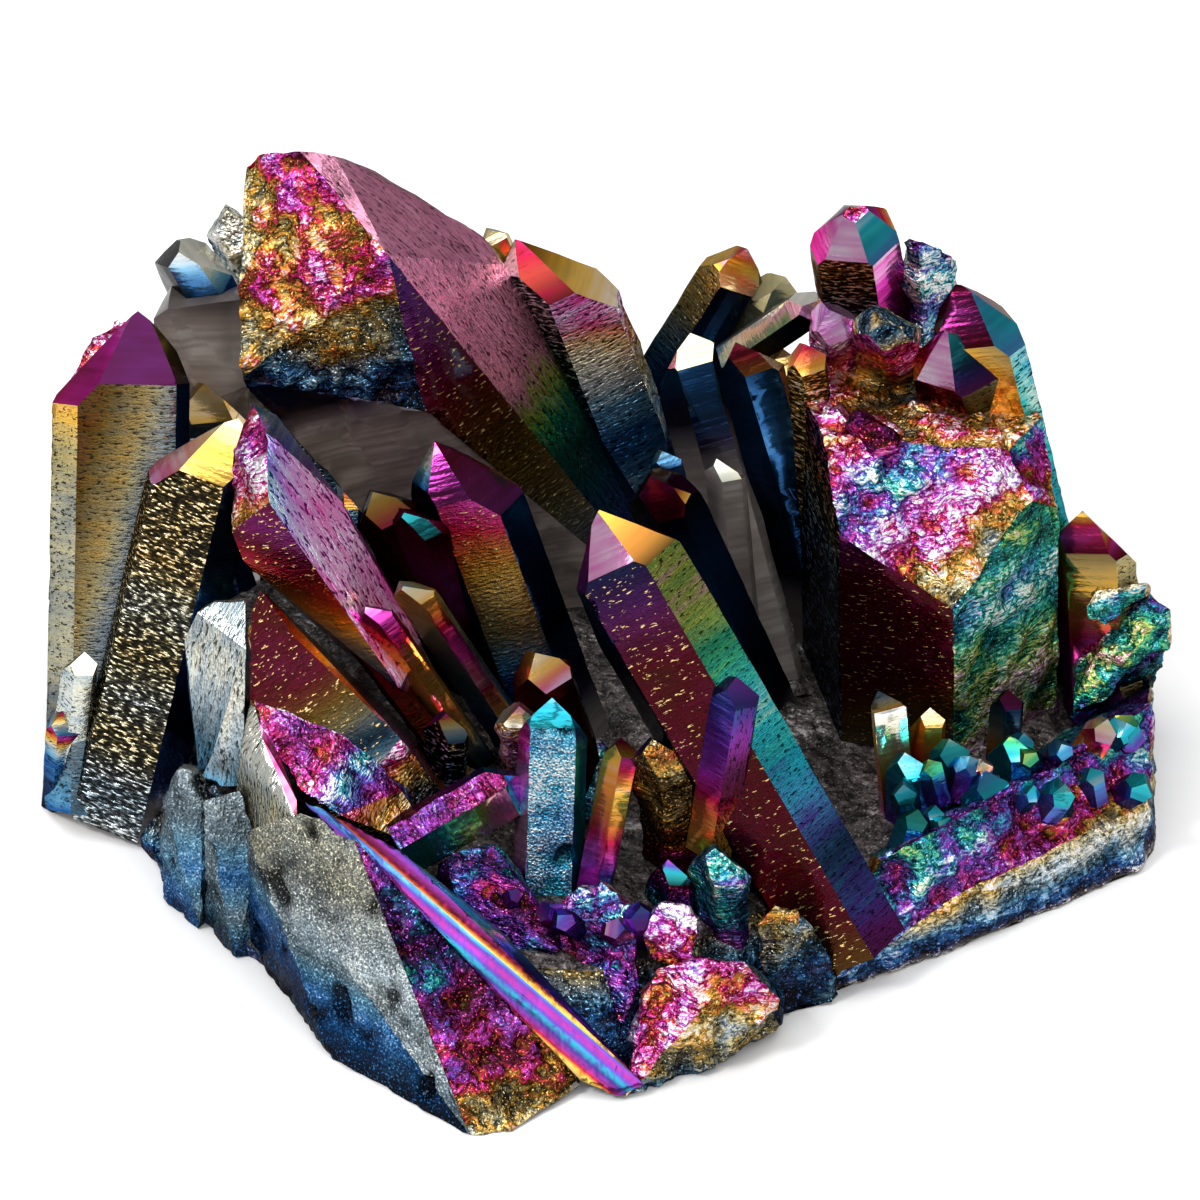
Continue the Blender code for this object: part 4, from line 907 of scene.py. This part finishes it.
height = (at * way[corner_facet]).sum(axis=1)
distance = np.linalg.norm(at - centre[corner_facet], axis=1)
height = np.where(ringed[corner_facet], distance, height)
along = (height - low[corner_facet]) / np.maximum(high - low, LEAST_RISE)[corner_facet]
step = np.clip(along, 0, 1) * (STOPS - 1)
lower = np.minimum(step.astype(int), STOPS - 2)
part = step - lower
film, painted_light = (table[corner_facet, lower] * (1 - part) + table[corner_facet, lower + 1] * part
               for table in (film_table, painted_light_table))
chance = np.random.default_rng(11).uniform(0, 1, count)
grain_across = (at * across[corner_facet]).sum(axis=1)
grain_up = (at * upward[corner_facet]).sum(axis=1)
swap = cracked[corner_facet]
grain = np.stack([np.where(swap, grain_up, grain_across), np.where(swap, grain_across, grain_up),
                  chance[corner_facet] * GRAIN_SHIFT], axis=1)


def paint(name, kind, values):
    """Stores one value for each corner of the mesh."""
    layer = cluster_mesh.attributes.new(name, kind, "CORNER")
    key = "value" if kind == "FLOAT" else "vector"
    layer.data.foreach_set(key, np.ascontiguousarray(values, dtype=np.float32).ravel())


paint("film", "FLOAT", film)
paint("standing", "FLOAT", np.array(standing)[corner_vert])
# painted light and shade: each face's tints darken or lighten it as if shaded or lit
paint("painted_light_and_shade", "FLOAT", painted_light)
paint("grain", "FLOAT_VECTOR", grain)
paint("marks_a", "FLOAT_VECTOR", marks[corner_facet][:, :3])
paint("marks_b", "FLOAT_VECTOR", marks[corner_facet][:, 3:])
cluster_mesh.transform(Matrix.Scale(MM, 4))
cluster = bpy.data.objects.new("aura_quartz_cluster", cluster_mesh)
bpy.context.scene.collection.objects.link(cluster)


# ---------------------------------------------------------------- the coated quartz
# One material for the whole cluster: a metal film over smoky quartz. Its colour is read off
# the film's thickness, then darkened and lightened by painted light and shade, with painted
# highlights and glints. Where the film is zero the quartz is bare and lets light through.

aura = bpy.data.materials.new("aura_quartz")
aura.use_nodes = True
tree = aura.node_tree
shader = tree.nodes["Principled BSDF"]


def put(value, socket):
    """Links a node's output into a socket, or sets the socket to a number or colour."""
    if isinstance(value, bpy.types.NodeSocket):
        tree.links.new(value, socket)
    else:
        socket.default_value = value


def node(kind, **settings):
    """Adds a shader node. A setting named in_X sets or links the node's socket X."""
    made = tree.nodes.new("ShaderNode" + kind)
    for key, value in settings.items():
        if not key.startswith("in_"):
            setattr(made, key, value)
    for key, value in settings.items():
        if key.startswith("in_"):
            put(value, made.inputs[int(key[3:]) if key[3:].isdigit() else key[3:]])
    return made


def maths(operation, *values):
    """One step of arithmetic on sockets or numbers."""
    sockets = {f"in_{number}": value for number, value in enumerate(values)}
    return node("Math", operation=operation, **sockets).outputs[0]


def total(*values):
    """The sum of several sockets or numbers."""
    result = values[0]
    for value in values[1:]:
        result = maths("ADD", result, value)
    return result


def product(*values):
    """The product of several sockets or numbers."""
    result = values[0]
    for value in values[1:]:
        result = maths("MULTIPLY", result, value)
    return result


def remap(value, low, high, out_low=0.0, out_high=1.0):
    """Brings a value from one range to another and holds it there."""
    return node("MapRange", in_0=value, in_1=low, in_2=high, in_3=out_low,
                in_4=out_high).outputs[0]


def where(mask, value):
    """The value where the mask is 1, and 1 where it is 0."""
    return node("Mix", in_Factor=mask, in_2=1.0, in_3=value).outputs[0]


def mixed(share, below, above, **settings):
    """Two colours laid over each other, the upper one by its share."""
    made = node("Mix", data_type="RGBA", **settings)
    put(share, made.inputs["Factor"])
    put(below, made.inputs["A"])
    put(above, made.inputs["B"])
    return made.outputs["Result"]


def stretched(vector, scale):
    """A pattern place squeezed along each way by its own share."""
    return node("VectorMath", operation="MULTIPLY", in_0=vector, in_1=scale).outputs[0]


def noise_over(place, scale, detail, **settings):
    """A noise pattern that is finer as scale grows and rougher as detail grows."""
    return node("TexNoise", in_Vector=place, in_Scale=scale, in_Detail=detail, **settings)


def painted(name, output="Fac"):
    """A value painted on the corners of the mesh."""
    return node("Attribute", attribute_name=name).outputs[output]


def around(value, reach):
    """A pattern of 0 to 1 turned into a shift of up to half of reach either way."""
    return maths("MULTIPLY", maths("SUBTRACT", value, 0.5), reach)


film_place = painted("film")
painted_light_place = painted("painted_light_and_shade")
grain_place = painted("grain", "Vector")
is_dashed, is_glittery, is_flecked = node("SeparateXYZ", in_0=painted("marks_a", "Vector")).outputs
is_rough, is_feathery, is_gritty = node("SeparateXYZ", in_0=painted("marks_b", "Vector")).outputs
is_broken = total(is_rough, is_feathery)
in_mm = stretched(node("TexCoord").outputs["Object"], (1 / MM, 1 / MM, 1 / MM))

# Patterns: wide clouds, growth lines and short flecks across a face (the flecks swirl where it
# is broken), chips with creases between them, and grains.
LINE_STRETCH = (0.10, 2.2, 1)
FLECK_STRETCH = (1.6, 5.0, 1)
SWIRL = 9.0
cloud_noise = noise_over(in_mm, 0.25, 2.0)
clouds = cloud_noise.outputs["Fac"]
growth_lines = noise_over(stretched(grain_place, LINE_STRETCH), 1.0, 1.0).outputs["Fac"]
swirl = node("VectorMath", operation="SCALE", in_0=cloud_noise.outputs["Color"],
             in_Scale=product(is_broken, SWIRL))
fleck_place = node("VectorMath", operation="MULTIPLY_ADD", in_0=grain_place,
                   in_1=FLECK_STRETCH, in_2=swirl.outputs[0]).outputs[0]
flecks = noise_over(fleck_place, 1.0, 2.0, in_Roughness=0.6).outputs["Fac"]
chips = noise_over(in_mm, 0.55, 4.0, in_Roughness=0.66).outputs["Fac"]
crease = maths("ABSOLUTE", maths("SUBTRACT", chips, 0.5))
grains = noise_over(in_mm, 6.0, 1.0).outputs["Fac"]
standing = painted("standing")
coated = remap(film_place, 0.02, 0.12)

# The film is thicker or thinner in each pattern, by more on the broken and gritty faces.
film_sum = total(
    film_place,
    product(around(clouds, 0.12), coated, total(0.5, is_broken)),
    product(around(chips, 0.46), coated, is_feathery),
    product(around(chips, 0.20), coated, is_rough),
    product(around(growth_lines, 0.06), coated, total(0.3, is_dashed, is_glittery)),
    product(standing, 0.05, is_rough, coated),
    product(standing, 0.08, is_feathery, coated),
    product(around(flecks, 0.16), is_broken, coated),
    product(around(grains, 0.06), is_gritty))

FILM_COLOURS = [                            # film thickness against its colour
    (0.00, (0.27, 0.23, 0.205)), (0.06, (0.14, 0.12, 0.13)), (0.12, (0.07, 0.06, 0.16)),
    (0.22, (0.03, 0.17, 0.48)), (0.30, (0.22, 0.52, 0.75)), (0.38, (0.55, 0.63, 0.66)),
    (0.45, (0.84, 0.73, 0.38)), (0.52, (0.90, 0.50, 0.07)), (0.56, (0.85, 0.24, 0.05)),
    (0.60, (0.72, 0.02, 0.07)), (0.65, (0.72, 0.06, 0.42)), (0.70, (0.42, 0.07, 0.60)),
    (0.74, (0.14, 0.10, 0.60)), (0.80, (0.02, 0.42, 0.56)), (0.88, (0.06, 0.52, 0.24)),
    (0.92, (0.50, 0.62, 0.10)), (0.96, (0.72, 0.29, 0.43)),
]
ramp = node("ValToRGB", in_0=film_sum)
stops = ramp.color_ramp.elements
while len(stops) < len(FILM_COLOURS):
    stops.new(1.0)
for stop, (thickness, colour) in zip(stops, FILM_COLOURS):
    stop.position = thickness
    stop.color = (*colour, 1)

# How light a place is: its tint's painted light and shade, random clouds and growth lines, darker
# dashes, then painted shade in the gaps between glittering flakes, in creases and in hollows.
# Broken faces: each flake painted lighter or darker as if it caught the light, with painted shade
# in creases and hollows.
broken_painted_light = product(remap(flecks, 0.36, 0.62, 0.3, 2.0), remap(crease, 0.0, 0.05, 0.12, 1.2),
                       remap(standing, -0.7, 0.3, 0.3, 1.2))
# Gritty faces: grains a little lighter or darker, with painted shade in the pits.
gritty_painted_shade = product(remap(grains, 0.35, 0.65, 0.4, 1.15),
                       remap(standing, -1.6, -0.2, 0.1, 1.0))
painted_shade_and_light = product(
    painted_light_place,
    remap(clouds, 0.3, 0.7, 0.8, 1.2),
    remap(growth_lines, 0.3, 0.7, 0.85, 1.15),
    where(is_dashed, remap(flecks, 0.57, 0.62, 1.0, 0.12)),
    where(is_glittery, remap(flecks, 0.46, 0.59, 0.04, 0.6)),
    where(is_broken, broken_painted_light),
    where(is_gritty, gritty_painted_shade))
# Painted glints: white specks on glittering flakes and on broken and gritty faces.
glinting_faces = total(is_broken, product(is_gritty, 0.6))
painted_glints = total(product(is_glittery, remap(flecks, 0.58, 0.62, 0, 1.3)),
                product(glinting_faces, remap(grains, 0.63, 0.70, 0, 1.0)))
painted_light_sum = total(painted_shade_and_light, painted_glints)

# The white of painted highlights, and the gold of painted glints on flecked faces.
PAINTED_HIGHLIGHT_WHITE = (0.97, 0.95, 0.93, 1)                # the near white of the lightest places
GOLD_PAINTED_GLINT = (0.90, 0.62, 0.25, 1)
# Painted shade darkens the film's colour, and painted highlights wash it towards white.
shaded_film_colour = mixed(1.0, ramp.outputs[0], maths("MINIMUM", painted_light_sum, 1.0), blend_type="MULTIPLY")
highlighted_film_colour = mixed(remap(painted_light_sum, 1.0, 2.2, 0, 0.9), shaded_film_colour, PAINTED_HIGHLIGHT_WHITE)
# Painted glints: gold specks laid over flecked faces.
gold_glint_share = product(is_flecked, remap(flecks, 0.64, 0.68))
put(mixed(gold_glint_share, highlighted_film_colour, GOLD_PAINTED_GLINT), shader.inputs["Base Color"])

CLEARNESS = 0.40                            # share of the light that bare quartz lets through
FILM_METAL = 0.93
bare = remap(film_sum, 0.03, 0.09, 1, 0)
put(product(bare, CLEARNESS), shader.inputs["Transmission Weight"])
put(product(maths("SUBTRACT", 1.0, bare), FILM_METAL), shader.inputs["Metallic"])

POLISH = 0.14                               # roughness of a mirror face, before what is added
finish = total(POLISH, product(is_dashed, 0.10), product(is_glittery, 0.10),
               product(is_flecked, 0.05), product(is_rough, 0.16), product(is_feathery, 0.14),
               product(is_gritty, 0.22), product(bare, 0.15))
put(finish, shader.inputs["Roughness"])
shader.inputs["IOR"].default_value = 1.544  # quartz
shader.inputs["Specular Tint"].default_value = (0.08, 0.08, 0.08, 1)
shader.inputs["Coat Weight"].default_value = 0.08
shader.inputs["Coat Roughness"].default_value = 0.05

BUMP_HEIGHT = 0.14                          # height of the finest marks
fleck_height = total(product(is_dashed, -1.0), product(is_glittery, 1.6),
                     product(is_flecked, 0.8), product(is_broken, 1.6), 0.1)
fine = total(product(flecks, fleck_height), product(chips, is_broken, 5.0),
             product(grains, is_gritty, 1.4), product(growth_lines, 0.25))
bump = node("Bump", in_Height=fine, in_Strength=0.9, in_Distance=BUMP_HEIGHT * MM)
put(bump.outputs[0], shader.inputs["Normal"])

SMOKE_COLOUR = (0.62, 0.55, 0.50, 1)
SMOKE_DENSITY = 60                          # absorption for each metre of smoky quartz
absorb = node("VolumeAbsorption")
absorb.inputs["Color"].default_value = SMOKE_COLOUR
absorb.inputs["Density"].default_value = SMOKE_DENSITY
put(absorb.outputs[0], tree.nodes["Material Output"].inputs["Volume"])

cluster_mesh.materials.append(aura)
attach(cluster, "root")
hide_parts("quartz_cluster")


# ---------------------------------------------------------------- floor, light and camera
# A pale floor, a wide soft light overhead, a smaller one at the left, one above the front,
# and a camera that looks down at the cluster from the front.

FLOOR_SIZE = 3.0
FLOOR_DROP = 0.0001                         # gap that keeps the floor clear of the cut
WORLD_LIGHT = 0.42
floor_mesh = bmesh.new()
bmesh.ops.create_grid(floor_mesh, x_segments=1, y_segments=1, size=FLOOR_SIZE / 2)
floor_data = bpy.data.meshes.new("floor")
floor_mesh.to_mesh(floor_data)
floor_mesh.free()
floor = bpy.data.objects.new("floor", floor_data)
bpy.context.scene.collection.objects.link(floor)
floor.location.z = -FLOOR_DROP
pale = bpy.data.materials.new("pale_floor")
pale.use_nodes = True
pale_sockets = pale.node_tree.nodes["Principled BSDF"].inputs
pale_sockets["Base Color"].default_value = (0.92, 0.92, 0.92, 1)
pale_sockets["Roughness"].default_value = 0.8
floor_data.materials.append(pale)

AIM = Vector((0, 0, 0.018))                 # where the lights and the camera look


def soft_light(name, place, size, power):
    """A square studio light that looks at the cluster."""
    data = bpy.data.lights.new(name, "AREA")
    data.size = size
    data.energy = power
    lamp = bpy.data.objects.new(name, data)
    bpy.context.scene.collection.objects.link(lamp)
    lamp.location = place
    lamp.rotation_euler = (AIM - Vector(place)).to_track_quat("-Z", "Y").to_euler()


soft_light("overhead", (0.0, 0.15, 0.85), size=1.1, power=7.5)
soft_light("key", (-0.40, -0.25, 0.55), size=0.16, power=2.2)
soft_light("front", (0.12, -0.75, 0.70), size=0.60, power=2.2)

world = bpy.data.worlds.new("studio")
bpy.context.scene.world = world
world.use_nodes = True
background = world.node_tree.nodes["Background"].inputs
background["Color"].default_value = (1, 1, 1, 1)
background["Strength"].default_value = WORLD_LIGHT

ELEVATION = math.radians(35)
DISTANCE = 0.45                             # from the camera to the aim
FRAME_WIDTH = 0.08496                       # what the frame takes in at the aim, side to side
camera_data = bpy.data.cameras.new("camera")
camera_data.sensor_width = 36
camera_data.lens = camera_data.sensor_width * DISTANCE / FRAME_WIDTH
camera = bpy.data.objects.new("camera", camera_data)
bpy.context.scene.collection.objects.link(camera)
camera.location = AIM + DISTANCE * Vector((0, -math.cos(ELEVATION), math.sin(ELEVATION)))
camera.rotation_euler = (AIM - camera.location).to_track_quat("-Z", "Y").to_euler()
bpy.context.scene.camera = camera
bpy.context.scene.view_settings.view_transform = "Standard"
